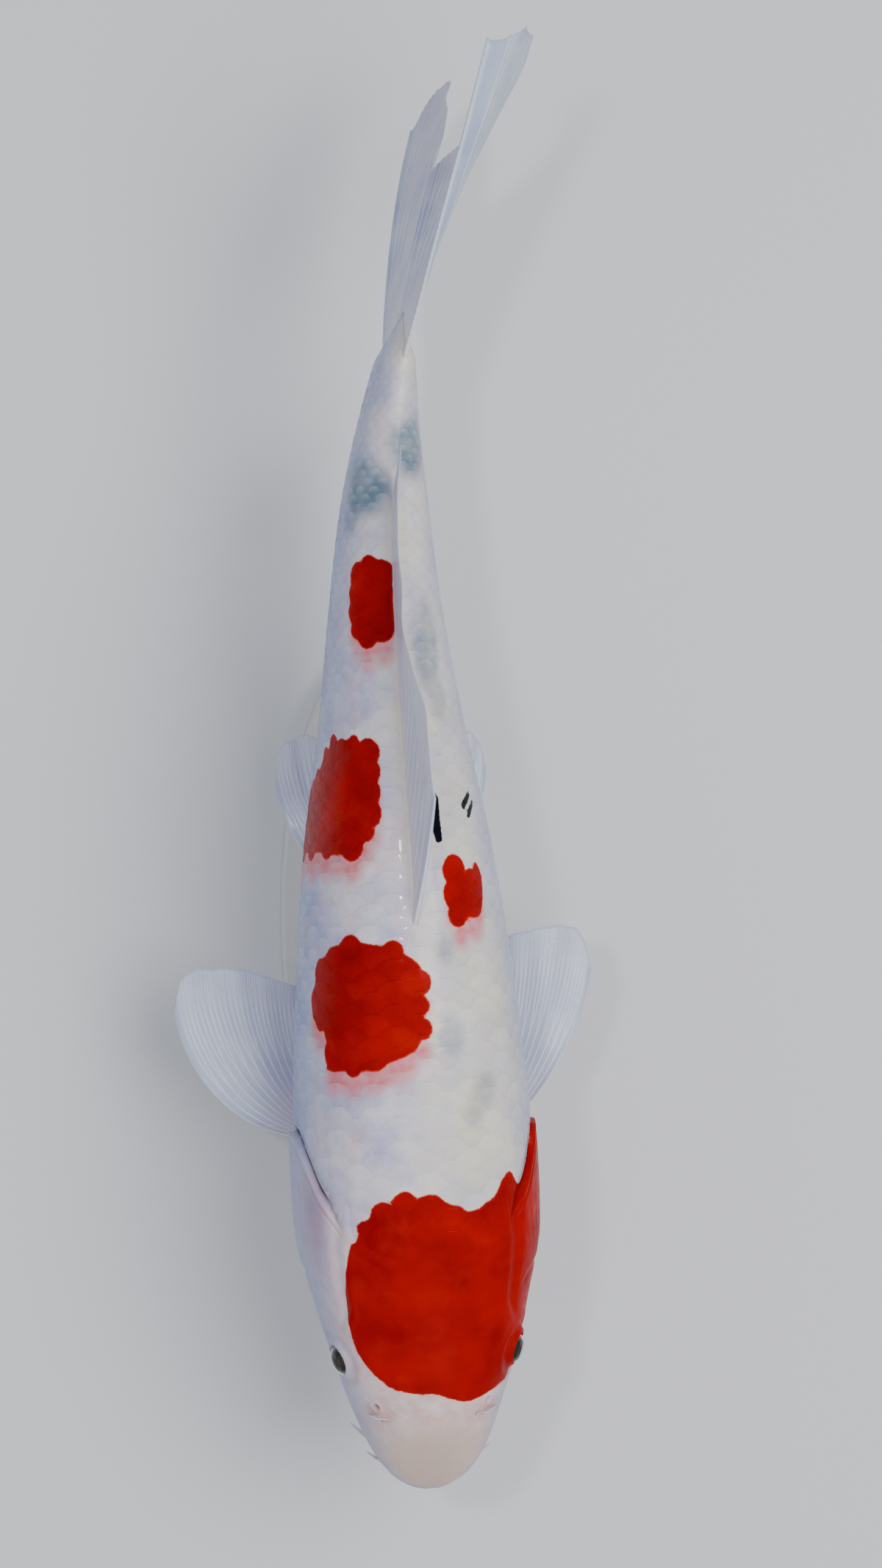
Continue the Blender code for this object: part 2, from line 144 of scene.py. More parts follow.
def straightPlace(s, angle):
    # the (s, x, z) place on the body at this angle down from the back
    s, angle = np.asarray(s, float), np.asarray(angle, float)
    half, back, belly, level, fullAbove, fullBelow = bodySizes(s)
    above = np.cos(angle) >= 0
    height = np.where(above, back - level, level - belly)
    full = np.where(above, fullAbove, fullBelow)
    x = np.sign(np.sin(angle)) * half * np.abs(np.sin(angle)) ** (2 / full)
    z = level + np.where(above, 1, -1) * height * np.abs(np.cos(angle)) ** (2 / full)
    tapered = 1 - body["fleshThins"] * eased(s, body["fleshFades"], body["length"] - body["fleshFades"])
    return np.stack(np.broadcast_arrays(s, x * tapered, z * tapered), axis=-1)


spineStep = 0.5 * mm
spineS = np.arange(0, body["totalLength"] + 40 * mm, spineStep)
spineHeading = body["tailSwing"] * eased(spineS, body["swingFrom"], body["swingRun"])
spineX = np.concatenate([[0], np.cumsum(np.sin(spineHeading[:-1])) * spineStep])
spineY = np.concatenate([[0], np.cumsum(np.cos(spineHeading[:-1])) * spineStep])


def bend(points):
    s, x, z = points[..., 0], points[..., 1], points[..., 2]
    heading = np.interp(s, spineS, spineHeading)
    twist = body["tailTwist"] * eased(s, body["twistFrom"], body["twistRun"])
    out = x * np.cos(twist) + z * np.sin(twist)
    back = np.interp(s, spineS, spineY) + np.minimum(s, 0)
    return np.stack([
        np.interp(s, spineS, spineX) + np.cos(heading) * out,
        back - np.sin(heading) * out - body["overBase"],
        body["axisHeight"] + z * np.cos(twist) - x * np.sin(twist),
    ], axis=-1)


def onBody(s, angle):
    return bend(straightPlace(s, angle))


def unit(vectors):
    return vectors / np.maximum(np.linalg.norm(vectors, axis=-1, keepdims=True), 1e-12)


def outward(s, angle, step=0.05 * mm, turn=0.002):
    # the way straight out of the body there, on the bent fish
    along = onBody(s + step, angle) - onBody(np.maximum(s - step, 1e-6), angle)
    around = onBody(s, angle + turn) - onBody(s, angle - turn)
    return unit(np.cross(around, along))


def girthTable(lengths=240, turns=361, shares=201):
    # the half girth at each s, and the angle at each share of it
    s = np.linspace(0, math.sqrt(body["length"]), lengths) ** 2
    angle = np.linspace(0, math.pi, turns)
    ring = straightPlace(s[:, None], angle[None])
    run = np.cumsum(np.linalg.norm(np.diff(ring, axis=1), axis=2), axis=1)
    run = np.concatenate([np.zeros((lengths, 1)), run], axis=1)
    share = np.linspace(0, 1, shares)
    angles = [np.interp(share * max(row[-1], 1e-9), row, angle) for row in run]
    angles[0] = angles[1]
    return s, run[:, -1], np.array(angles)


girthS, girthHalf, girthAngles = girthTable()


def halfGirth(s):
    return np.interp(s, girthS, girthHalf)


def angleAt(s, share):
    # share is -1 to 1 round the body from the belly's midline, 0 on the back
    s, share = np.broadcast_arrays(s, share)
    row = np.sqrt(np.clip(s, 0, body["length"]) / body["length"]) * (len(girthS) - 1)
    column = np.clip(np.abs(share), 0, 1) * (girthAngles.shape[1] - 1)
    i = np.clip(row.astype(int), 0, len(girthS) - 2)
    j = np.clip(column.astype(int), 0, girthAngles.shape[1] - 2)
    a, b = row - i, column - j
    found = (
        girthAngles[i, j] * (1 - a) * (1 - b) + girthAngles[i + 1, j] * a * (1 - b)
        + girthAngles[i, j + 1] * (1 - a) * b + girthAngles[i + 1, j + 1] * a * b
    )
    return np.copysign(found, share)


head = {
    "eye": {"s": 56 * mm, "angle": math.radians(67), "sink": 3.6 * mm, "radius": 7.2 * mm},
    # the mouth's line, as (s, z) in mm
    "mouthLine": ((0.75, -13.2), (3, -14.4), (8, -16.6), (14, -19.6), (21, -23.6)),
    # each side's two nostrils, as (s, angle, radius)
    "nostrils": ((31.5, 40, 1.1), (37, 41, 1.7)),
    # the gill cover's free edge, as (angle, s in mm)
    "gillEdge": (
        (0, 92), (16, 94), (34, 101), (44, 110), (50, 117), (56, 122), (64, 131), (72, 138.5), (78, 142),
        (86, 143.5), (97, 142.5), (107, 139), (117, 134), (130, 126), (144, 114), (160, 97), (180, 80),
    ),
    "coatDepth": (0.385 * mm, 0.7 * mm),  # how far the skin lies under the scales' outside, here and behind
    "coatEases": 30 * mm,
}


def gillEdge(angle):
    turns, places = np.array(head["gillEdge"]).T
    return np.interp(np.abs(np.degrees(angle)), turns, places) * mm


scales = {
    "rows": 18,  # on each side, from the back to the belly
    "pitch": (9.0 * mm, 6.2 * mm),  # from a scale to the next one along its row, in front and at the rear
    "pitchEases": (90 * mm, 370 * mm),  # from where and over what length the pitch goes from one to the other
    "reach": 1.8,  # a scale's length, in pitches
    "round": 1.25,  # how far forward its rounded rear reaches, in pitches
    "halfWidth": 1.25,  # in rows
    "uneven": 0.02,  # how much lengths and widths vary
    "tilt": (0.014, 0.028),  # how steeply it stands out, next to the head and behind
    "thick": 0.16 * mm,
    "crown": 0.16 * mm,
    "rootDip": 0.35 * mm,
    "rimDrop": 0.1 * mm,
    "firstAt": 86 * mm,
    "lastAt": 447 * mm,
    "tuck": 0.45,  # how far a row's first scale may reach under the nape, in pitches
    "coverSide": 40,  # degrees from the back at which the gill covers start
    "coverGap": (0.5 * mm, 2.4 * mm),  # from a cover's edge to the first scales, at its top and below
    "underDorsal": (220 * mm, 384 * mm),  # the midline has no scales here
    "poreRow": 9,  # the row whose scales have the pores of the lateral line
    "poreRise": 0.25 * mm,
    "diveFrom": (0.2 * mm, 2.8 * mm),  # a scale dives under the nape and under a gill cover from here
    "diveDepth": (0.7 * mm, 5.0 * mm),
    "tiles": 28,  # places along the unwrap for each row of a piece
}


def scaleRoots():
    # every scale's s, share of the girth, pitch and number in its row
    starts = [scales["firstAt"]]
    while starts[-1] < scales["lastAt"]:
        starts.append(starts[-1] + between(scales["pitch"], eased(starts[-1], *scales["pitchEases"])))
    roots = []
    for row in range(-scales["rows"], scales["rows"]):
        share, slot = row / scales["rows"], 0
        for at, after in zip(starts, starts[1:]):
            pitch = after - at
            place = at + pitch / 2 * (row % 2)
            angle = float(angleAt(place, share))
            side = abs(math.degrees(angle))
            edge = float(gillEdge(angle))
            gap = between(scales["coverGap"], float(eased(side, scales["coverSide"] + 2, 14)))
            if place < edge - scales["tuck"] * pitch or place > scales["lastAt"]:
                continue
            if side > scales["coverSide"]:  # behind the gill covers no scale tucks under
                place = max(place, edge + gap)
            if row == 0 and scales["underDorsal"][0] < place < scales["underDorsal"][1]:
                continue
            roots.append((place, share, pitch, slot))
            slot += 1
    return np.array(roots)


allRoots = scaleRoots()


# the markings, in mm
markings = {
    # each patch's outline, as (s, girth)
    "red": {
        "head": (
            (80, -36), (61, -33), (52, -25), (44, -16), (42.5, -8), (42, 0), (39, 6), (37, 13), (39, 21),
            (42, 30), (45, 38), (50, 48), (60, 55), (68, 63), (73, 74), (82, 80), (89, 93), (101, 100),
            (110, 109), (122, 115), (133, 118), (142, 115), (147, 105), (148, 92), (147, 81), (142, 70),
            (134, 60), (128, 49), (122.5, 43), (127, 35), (127, 31), (121, 27), (117, 24), (115.5, 16),
            (118, 12), (121, 5), (121, -1), (122.5, -6), (122, -12), (119, -17), (116, -22), (114, -27),
            (108, -30), (99, -33), (89, -35),
        ),
        "shoulder": (
            (167, -46), (167, -22), (171, -8.5), (174.5, 0), (185, 2.6), (197.5, 4.4), (209, 3), (216, -5),
            (219, -17), (221, -30), (216, -45), (208, -51), (204.5, -55), (197.5, -60), (187, -57),
            (182.5, -43), (174.5, -45.5),
        ),
        "flank": (
            (250, -94), (249.5, -45), (248.5, -29), (252, -18), (264.5, -10.5), (278, -8.5), (291, -10),
            (296, -22), (297, -31), (292, -48), (283, -53), (279, -70), (274, -92), (262, -99),
        ),
        "small": (
            (223, 14.5), (222, 24.5), (225, 33), (232, 38), (243, 38), (248, 33), (247, 28.5), (240, 26),
            (247, 23), (249, 17), (245, 12), (236, 11), (229, 12),
        ),
        "tail": (
            (329, -18), (330.5, -5), (334, -0.5), (345.5, 1.5), (354, 3.2), (361, 1.5), (361, -1),
            (364, -4), (365, -8.5), (361.5, -16), (354.5, -21), (341, -22.5), (333, -20),
        ),
    },
    # strokes, each through points of (s, girth, half width)
    "black": (
        ((271, 11.5, 1.4), (263, 10.4, 2.4), (255, 11.5, 1.6)),
        ((271.5, 34, 1.2), (267, 27.5, 1.6)),
        ((268, 36.5, 1.1), (263.5, 31, 1.5)),
    ),
    # clouds of (s, girth, half length, half width, strength)
    "blue": (
        (390, -14, 13, 15, 1.0), (379, -22, 8, 8, 0.6), (407, 8, 15, 12, 1.0), (426, -30, 5, 4, 0.6),
        (328, 14, 20, 9, 0.75), (308, 18, 9, 6, 0.5), (181, 11.5, 8, 6, 0.6), (159, 26, 9, 7, 0.5),
        (213, 11, 7, 5, 0.5), (150, 20, 6, 6, 0.4),
    ),
    "fade": 9 * mm,  # how far red shows through the scales ahead of a patch
    "lobeAt": 0.62,  # where along a scale the middle of its lobe is, and its size, in scale lengths
    "lobeSize": 0.46,
    "inset": 2.0 * mm,  # how far the skin's red stops inside the lobes, but for the bare head
    "insetEases": 4 * mm,
    "wander": 0.4,  # how far an edge strays, in mm
    "cloudEdge": (1.25, 0.8),  # where a cloud ends and how softly, in its half sizes
    "creamSide": (-8 * mm, 26 * mm),  # from where and over what girth the white turns to cream towards the fish's left, painted warm light of the key on that side
    "creamBand": (0.9, 3 * mm, 9 * mm),  # how strong the cream is on the midline, and where
    "flankTint": 0.66,  # how blue the white is low on the flank, the skin's own cool tone with painted blue light from the sides, and how much of that the belly loses
    "bellyLoses": 0.75,
    "outside": -9,  # the depth given to places far from a marking, in mm
}


def softened(outline, rounds=2):
    # the outline with its corners cut, over and over
    corners = np.array(outline, float)
    for _ in range(rounds):
        after = np.roll(corners, -1, axis=0)
        corners = np.stack([corners * 0.8 + after * 0.2, corners * 0.2 + after * 0.8], axis=1).reshape(-1, 2)
    return corners


def toSegment(points, a, b):
    # how far each point is from the line a to b, and the share of the line at the nearest place
    way = b - a
    t = np.clip(((points - a) @ way) / (way @ way), 0, 1)
    return np.linalg.norm(points - (a + t[..., None] * way), axis=-1), t


def outlineDepth(points, outline):
    # how far inside the outline each (s, girth) lies, negative outside
    corners = softened(outline) * mm
    nearest = np.full(points.shape[:-1], 1e9)
    inside = np.zeros(points.shape[:-1], bool)
    s, girth = points[..., 0], points[..., 1]
    for a, b in zip(corners, np.roll(corners, -1, axis=0)):
        nearest = np.minimum(nearest, toSegment(points, a, b)[0])
        rise = b[1] - a[1]
        reach = a[0] + (girth - a[1]) / (rise or 1e-9) * (b[0] - a[0])
        inside ^= ((a[1] > girth) != (b[1] > girth)) & (s < reach)
    return np.where(inside, nearest, -nearest)


def lobesOf(outline):
    # a disc for every scale the patch takes in, as (s, girth, radius); they scallop its edge
    place, share, pitch, _ = allRoots.T
    length = pitch * scales["reach"]
    s = place + markings["lobeAt"] * length
    centres = np.stack([s, share * halfGirth(s)], axis=-1)
    depth = outlineDepth(centres, outline)
    # no two lobes reach out alike
    reach = (1.2 + 0.9 * np.sin(place / mm * 1.7 + share * 40)) * mm
    radius = np.minimum(depth + reach, markings["lobeSize"] * length)
    return np.concatenate([centres, radius[:, None]], axis=1)[depth > markings["inset"]]


def patchDepth(points, outline, inset):
    # how far inside a patch each (s, girth) lies; scales make its rim lobed, bare skin leaves it plain
    depth = np.full(points.shape[:-1], markings["outside"] * mm)
    corners, margin = np.array(outline) * mm, 12 * mm
    low, high = corners.min(axis=0) - margin, corners.max(axis=0) + margin
    near = np.all((points > low) & (points < high), axis=-1)
    places = points[near]
    found = outlineDepth(places, outline) - inset[near]
    for s, girth, radius in lobesOf(outline):
        found = np.maximum(found, radius - np.hypot(places[:, 0] - s, places[:, 1] - girth))
    depth[near] = found
    return depth


def waviness(s, girth, size=4 * mm):
    # a soft wander for edges, the same on the skin and on the scales
    a, b = s / size, girth / size
    broad = 0.5 * np.sin(a + 1.7 * np.sin(0.6 * b)) + 0.5 * np.sin(1.3 * b + 1.1 * np.sin(0.8 * a) + 2)
    return broad + 0.35 * np.sin(2.9 * a + 1.3 * np.sin(2.1 * b)) * np.sin(2.5 * b + 1)


def markingMasks(s, share):
    # how deep inside each marking a place lies, in mm, and how strong the blue and the cream are
    girth = share * halfGirth(s)
    wander = markings["wander"] * waviness(s, girth)
    place = np.stack([s, girth], axis=-1)
    behind = np.stack([s + markings["fade"], girth], axis=-1)
    inset = markings["inset"] * eased(s - gillEdge(angleAt(s, share)), 0, markings["insetEases"])
    patches = markings["red"]
    red = np.max([patchDepth(place, patches[name], inset) for name in patches], axis=0)
    late = np.max([patchDepth(behind, patches[name], inset) for name in patches if name != "head"], axis=0)
    black = np.full(s.shape, float(markings["outside"]))
    for stroke in markings["black"]:
        points = np.array(stroke) * mm
        for a, b in zip(points, points[1:]):
            away, t = toSegment(place, a[:2], b[:2])
            black = np.maximum(black, (between((a[2], b[2]), t) - away) / mm)
    blue = np.zeros(s.shape)
    end, soft = markings["cloudEdge"]
    for at, out, long, wide, much in markings["blue"]:
        away = np.hypot((s / mm - at) / long, (girth / mm - out) / wide)
        blue = np.maximum(blue, much * fading(away - wander * 0.2, end, soft))
    bandStrength, *band = markings["creamBand"]
    return {
        "red": np.maximum(red / mm + wander, markings["outside"]),
        "late": np.maximum(late / mm + wander, markings["outside"]),
        "black": black,
        "blue": blue,
        "warm": np.maximum(eased(girth, *markings["creamSide"]), bandStrength * bump(girth, *band)),
    }


wholeTile = (0.004, 0.004, 0.996, 0.996)  # the part of the unwrap that a closed piece fills
plateTile = (0.003, 0.03, 0.997, 0.97)  # and that of a plate, with a strip left for each of its ends
plateEnds = ((0.003, 0.02), (0.98, 0.997))


def addToScene(name, data):
    made = bpy.data.objects.new(name, data)
    bpy.context.scene.collection.objects.link(made)
    return made


def makePiece(name, points, faces, corners, look, masks, slot, replaced=()):
    # corners holds a UV pair for every corner of every face, in order
    mesh = bpy.data.meshes.new(name)
    mesh.from_pydata(np.asarray(points).reshape(-1, 3).tolist(), [], faces)
    layer = mesh.uv_layers.new(name="OFBake")
    layer.data.foreach_set("uv", np.asarray(corners, dtype=np.float32).ravel())
    for key, values in masks.items():
        held = mesh.attributes.new(key, "FLOAT", "POINT")
        held.data.foreach_set("value", np.asarray(values, dtype=np.float32).ravel())
    work = bmesh.new()
    work.from_mesh(mesh)
    bmesh.ops.recalc_face_normals(work, faces=work.faces)
    work.to_mesh(mesh)
    work.free()
    mesh.polygons.foreach_set("use_smooth", [True] * len(mesh.polygons))
    mesh.materials.append(look)
    piece = addToScene(name, mesh)
    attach(piece, "root")
    if replaced:
        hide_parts(*replaced)


def cadName(name):
    # pelvicFinLeft stands for the solid pelvic_fin_left
    return re.sub("([A-Z])", r"_\1", name).lower()


def square(across, j, low, high):
    return [(across[j], low), (across[j + 1], low), (across[j + 1], high), (across[j], high)]


def tubeFaces(rows, cols, pointed, tile):
    # faces and UV corners of a grid that closes round, with a point at each end where it is pointed
    faces, corners = [], []
    first = int(pointed)
    last = first + rows * cols
    levels = np.linspace(tile[1], tile[3], rows + 2 * first)
    across = np.linspace(tile[0], tile[2], cols + 1)
    for i in range(rows - 1):
        start = first + i * cols
        for j in range(cols):
            n = (j + 1) % cols
            faces.append((start + j, start + n, start + cols + n, start + cols + j))
            corners += square(across, j, levels[first + i], levels[first + i + 1])
    for j in range(cols if pointed else 0):
        n, middle = (j + 1) % cols, (across[j] + across[j + 1]) / 2
        faces += [(0, first + n, first + j), (last, last - cols + j, last - cols + n)]
        corners += [(middle, levels[0]), (across[j + 1], levels[1]), (across[j], levels[1])]
        corners += [(middle, levels[-1]), (across[j], levels[-2]), (across[j + 1], levels[-2])]
    return faces, corners


def bothSides(top, under):
    return np.concatenate([top, under[:, ::-1]], axis=1)


def facing(middle):
    return unit(np.cross(np.gradient(middle, axis=0), np.gradient(middle, axis=1)))


def plate(middle, half, normal):
    # a thin plate round its middle surface: points, faces and UV corners, closed at both ends
    top, under = middle + normal * half[..., None], middle - normal * half[..., None]
    rows, across = half.shape
    cols = 2 * across
    faces, corners = tubeFaces(rows, cols, False, plateTile)
    spread = np.linspace(plateTile[0], plateTile[2], across)
    for row, (low, high) in zip((0, rows - 1), plateEnds):
        start = row * cols
        for j in range(across - 1):
            faces.append((start + j, start + j + 1, start + cols - 2 - j, start + cols - 1 - j))
            corners += square(spread, j, low, high)
    return bothSides(top, under).reshape(-1, 3), faces, corners


def linear(values):
    # from the 0 to 255 values of a colour picker
    shares = [value / 255 for value in values]
    return (*(v / 12.92 if v <= 0.04045 else ((v + 0.055) / 1.055) ** 2.4 for v in shares), 1)


# cream on the fish's left is painted warm key light, and lavender and rose are made stronger on its right as
# painted cool shade
# the flank's blue is the skin's own cool tone with painted blue light from the sides
# the gill cover's colour is the gills' pink through it, with painted shade in its hollow
# the slit's dark brown is painted shade in the mouth, the eye sockets, the nostrils and the gill slits
colours = {name: linear(values) for name, values in {
    "back": (228, 218, 222), "cream": (232, 224, 202), "lavender": (166, 166, 212),
    "rose": (220, 176, 194), "flank": (138, 158, 204), "head": (214, 178, 176),
    "snout": (198, 178, 166), "gillPinkAndShade": (156, 120, 150), "pink": (222, 120, 128),
    "red": (172, 0, 0), "redDeep": (142, 0, 2), "redBright": (204, 34, 0),
    "black": (12, 15, 24), "blue": (98, 124, 142), "slit": (70, 32, 30), "lips": (198, 128, 128),
    "fin": (196, 212, 232), "finRay": (232, 236, 242), "finTint": (182, 196, 224),
    "tailTint": (158, 180, 216), "pupil": (4, 3, 4), "irisDark": (18, 11, 8),
    "irisGold": (62, 40, 22), "irisRim": (14, 9, 8), "irisRing": (104, 74, 36),
    "eyeWhite": (104, 112, 130), "tearClear": (250, 250, 252), "tearCool": (240, 244, 250),
    "barbelTip": (200, 206, 228), "plinthDark": (206, 205, 202), "plinthPale": (222, 221, 218),
    "speck": (176, 176, 176), "rodDark": (170, 170, 172), "rodPale": (206, 206, 208),
    "floor": (214, 216, 220),
}.items()}
# each mottling's noise scale, detail and roughness, the range of it that is used, and what that becomes
mottles = {
    "cream": (38, 2, 0.5, 0.36, 0.6, 0.25, 1),
    "lilac": (46, 5, 0.6, 0.4, 0.64, 0.1, 0.85),
    "rosy": (64, 4, 0.6, 0.5, 0.72, 0, 0.6),
    "pink": (210, 3, 0.5, 0.3, 0.62, 0.7, 1),
    "redDepth": (55, 3, 0.5, 0.3, 0.7, 0, 1),
    "redGlow": (90, 4, 0.55, 0.55, 0.85, 0, 0.3),
    "wobble": (600, 2, 0.5, 0.3, 0.7, -0.15, 0.15),
    "cloud": (110, 3, 0.5, 0.25, 0.6, 0.55, 1),
    "veins": (120, 5, 0.62, 0.35, 0.7, 0, 1),
    "skinGloss": (260, 3, 0.5, 0.3, 0.7, 0.3, 0.45),
    "scaleGloss": (320, 3, 0.5, 0.3, 0.7, 0.22, 0.38),
    "scaleWet": (75, 2, 0.5, 0.4, 0.62, 0.12, 0.5),
    "scaleWaves": (170, 2, 0.5, 0, 1, 0, 5),
    "finMilk": (60, 4, 0.5, 0.3, 0.7, 0, 1),
    "finGloss": (300, 3, 0.5, 0.3, 0.7, 0.28, 0.45),
    "iris": (900, 4, 0.65, 0.35, 0.65, 0, 1),
    "eyeGrain": (1400, 3, 0.5, 0, 1, 0, 1),
    "tear": (500, 2, 0.5, 0.3, 0.7, 0, 1),
    "barbelPink": (400, 3, 0.5, 0.4, 0.7, 0, 0.4),
    "barbelGloss": (500, 2, 0.5, 0.3, 0.7, 0.3, 0.42),
    "plinth": (24, 5, 0.6, 0.3, 0.7, 0, 1),
    "speck": (900, 2, 0.5, 0.62, 0.72, 0, 0.35),
    "plinthGloss": (90, 3, 0.5, 0.3, 0.7, 0.42, 0.6),
}


def connect(tree, node, inputs):
    # links each socket that is given another one, and sets the rest
    for key, value in inputs.items():
        if isinstance(value, bpy.types.NodeSocket):
            tree.links.new(value, node.inputs[key])
        else:
            node.inputs[key].default_value = value
    return node


def addNode(tree, kind, inputs, **settings):
    made = tree.nodes.new(kind)
    for key, value in settings.items():
        setattr(made, key, value)
    return connect(tree, made, inputs)


def layered(tree, paint, *layers):
    # each layer is how much it covers and its colour, which is a name in colours or a socket
    paint = colours.get(paint, paint)
    for cover, colour in layers:
        given = {0: cover, 6: paint, 7: colours.get(colour, colour)}
        paint = addNode(tree, "ShaderNodeMix", given, data_type="RGBA").outputs[2]
    return paint


def worked(tree, way, a, b=0.0, clamped=False):
    return addNode(tree, "ShaderNodeMath", {0: a, 1: b}, operation=way, use_clamp=clamped).outputs[0]


def times(tree, a, b):
    return worked(tree, "MULTIPLY", a, b)


def plus(tree, a, b):
    return worked(tree, "ADD", a, b)


def ramped(tree, value, low, high, outLow=0.0, outHigh=1.0):
    return addNode(tree, "ShaderNodeMapRange", {
        "Value": value, "From Min": low, "From Max": high, "To Min": outLow, "To Max": outHigh,
    }).outputs[0]


def placeOn(tree):
    return addNode(tree, "ShaderNodeTexCoord", {}).outputs["Object"]


def mottled(tree, name):
    scale, detail, roughness, low, high, outLow, outHigh = mottles[name]
    grain = addNode(tree, "ShaderNodeTexNoise", {
        "Vector": placeOn(tree), "Scale": scale, "Detail": detail, "Roughness": roughness,
    })
    return ramped(tree, grain.outputs["Fac"], low, high, outLow, outHigh)


def mask(tree, name):
    return addNode(tree, "ShaderNodeAttribute", {}, attribute_name=name).outputs["Fac"]


def newGroup(name, takes, gives):
    group = bpy.data.node_groups.new(name, "ShaderNodeTree")
    kinds = {"colour": "NodeSocketColor", "value": "NodeSocketFloat"}
    for way, labels in (("INPUT", takes), ("OUTPUT", gives)):
        for label, kind in labels.items():
            group.interface.new_socket(name=label, in_out=way, socket_type=kinds[kind])
    return group, group.nodes.new("NodeGroupInput").outputs, group.nodes.new("NodeGroupOutput")


koiMasks = ("red", "late", "black", "blue", "flank", "warm")


def koiColourGroup():
    # the fish's colour from its marking masks, shared by the skin and the scales
    group, get, out = newGroup(
        "koiColour", {key.capitalize(): "value" for key in koiMasks}, {"Colour": "colour", "Marked": "value"},
    )
    # the cream mottling on the fish's left is painted warm key light on that side; the skin's own lavender
    # and rose mottling is stronger on its right as painted cool shade
    shadedSide = ramped(group, get["Warm"], 0, 1, 1, 0.3)
    white = layered(
        group, "back",
        (times(group, mottled(group, "cream"), get["Warm"]), "cream"),
        (times(group, mottled(group, "lilac"), shadedSide), "lavender"),
        (times(group, mottled(group, "rosy"), shadedSide), "rose"),
        # the flank's blue: the skin's own cool tone with painted blue light from the sides
        (get["Flank"], "flank"),
        (times(group, ramped(group, get["Late"], -1.5, 3.5), mottled(group, "pink")), "pink"),
    )
    # a thin orange line runs along the edge of a red patch
    wobble = mottled(group, "wobble")
    depth = plus(group, get["Red"], wobble)
    red = layered(
        group, "redDeep",
        (mottled(group, "redDepth"), "red"),
        (mottled(group, "redGlow"), "redBright"),
        (ramped(group, depth, 0.1, 0.9, 0.7, 0), "redBright"),
    )
    redShare = ramped(group, depth, -0.25, 0.35)
    inked = ramped(group, plus(group, get["Black"], wobble), -0.2, 0.25)
    cloudy = times(group, get["Blue"], mottled(group, "cloud"))
    made = layered(group, white, (redShare, red), (cloudy, "blue"), (inked, "black"))
    connect(group, out, {"Colour": made, "Marked": worked(group, "MAXIMUM", redShare, inked)})
    return group


def fineSkinGroup():
    # the fine pebbling of wet skin, as a height
    group, get, out = newGroup("fineSkin", {"Size": "value", "Depth": "value"}, {"Height": "value"})
    where = {"Vector": placeOn(group), "Scale": get["Size"]}
    grain = addNode(group, "ShaderNodeTexNoise", {**where, "Detail": 4.0})
    cells = addNode(group, "ShaderNodeTexVoronoi", where, feature="SMOOTH_F1")
    both = plus(group, grain.outputs["Fac"], times(group, cells.outputs["Distance"], 0.5))
    connect(group, out, {"Height": times(group, both, get["Depth"])})
    return group


koiColour, fineSkin = koiColourGroup(), fineSkinGroup()


def newMaterial(name, values):
    made = bpy.data.materials.new(name)
    made.use_nodes = True
    tree = made.node_tree
    return made, tree, connect(tree, tree.nodes["Principled BSDF"], values)


def koiPaint(tree):
    # the paint, and how far it is plain white there
    given = {key.capitalize(): mask(tree, key) for key in koiMasks}
    made = addNode(tree, "ShaderNodeGroup", given, node_tree=koiColour).outputs
    return made["Colour"], worked(tree, "SUBTRACT", 1.0, made["Marked"])


def pebbled(tree, size, depth):
    return addNode(tree, "ShaderNodeGroup", {"Size": size, "Depth": depth}, node_tree=fineSkin).outputs[0]


def bumped(tree, height, strength, distance=0.3 * mm):
    made = addNode(tree, "ShaderNodeBump", {"Height": height, "Strength": strength, "Distance": distance})
    return made.outputs["Normal"]


def skinMaterial():
    made, tree, shader = newMaterial("wetSkin", {
        "Subsurface Weight": 0.2, "Subsurface Scale": 3 * mm,
        "Coat Roughness": 0.2, "Specular IOR Level": 0.03,
    })
    paint, plain = koiPaint(tree)
    # the head's own skin is thinner and shows flesh and bone through it; over it go the flank's blue, partly
    # painted blue light, the snout's beige, and the gill cover's pink with painted shade
    bare = layered(tree, "head", (mottled(tree, "veins"), "back"),
                   *((mask(tree, key), key) for key in ("flank", "snout", "gillPinkAndShade")))
    # over it the lips' own pink, and painted shade in the mouth's slit, the eye sockets, the nostrils and the
    # gill slits
    paint = layered(tree, paint, (times(tree, mask(tree, "bare"), plain), bare),
                    *((mask(tree, key), key) for key in ("lips", "slit")))
    connect(tree, shader, {
        "Base Color": paint,
        "Roughness": mottled(tree, "skinGloss"),
        "Coat Weight": ramped(tree, plain, 0, 1, 0.04, 0.2),
        "Normal": bumped(tree, pebbled(tree, 900.0, 1.0), 0.25),
    })
    return made


def scaleMaterial():
    made, tree, shader = newMaterial("wetScales", {
        "Subsurface Weight": 0.12, "Subsurface Scale": 2 * mm,
        "Coat Roughness": 0.06, "Specular IOR Level": 0.03,
    })
    paint, plain = koiPaint(tree)
    # a painted highlight at the free edge, and painted lavender shade towards the root, where the scale ahead
    # lies over it
    edge = mask(tree, "edge")
    edgeHighlight = times(tree, ramped(tree, edge, 0.75, 1.0, 0, 0.25), plain)
    rootShade = times(tree, ramped(tree, edge, 0.3, 0.8, 0.15, 0), plain)
    paint = layered(tree, paint, (edgeHighlight, "back"), (rootShade, "lavender"))
    tone = ramped(tree, mask(tree, "chance"), 0, 1, 0.95, 1.05)  # no two scales are quite alike
    toned = addNode(tree, "ShaderNodeHueSaturation", {"Value": tone, "Color": paint})
    rings = worked(tree, "SINE", times(tree, edge, 95.0))
    height = plus(tree, times(tree, rings, 0.08), pebbled(tree, 1100.0, 0.8))
    connect(tree, shader, {
        "Base Color": toned.outputs["Color"],
        "Roughness": mottled(tree, "scaleGloss"),
        # wet in patches, so that glints break up
        "Coat Weight": times(tree, mottled(tree, "scaleWet"), ramped(tree, plain, 0, 1, 0.12, 1)),
        "Normal": bumped(tree, plus(tree, height, mottled(tree, "scaleWaves")), 0.2),
    })
    return made


skinLook, scaleLook = skinMaterial(), scaleMaterial()
print("skin and scale materials made")


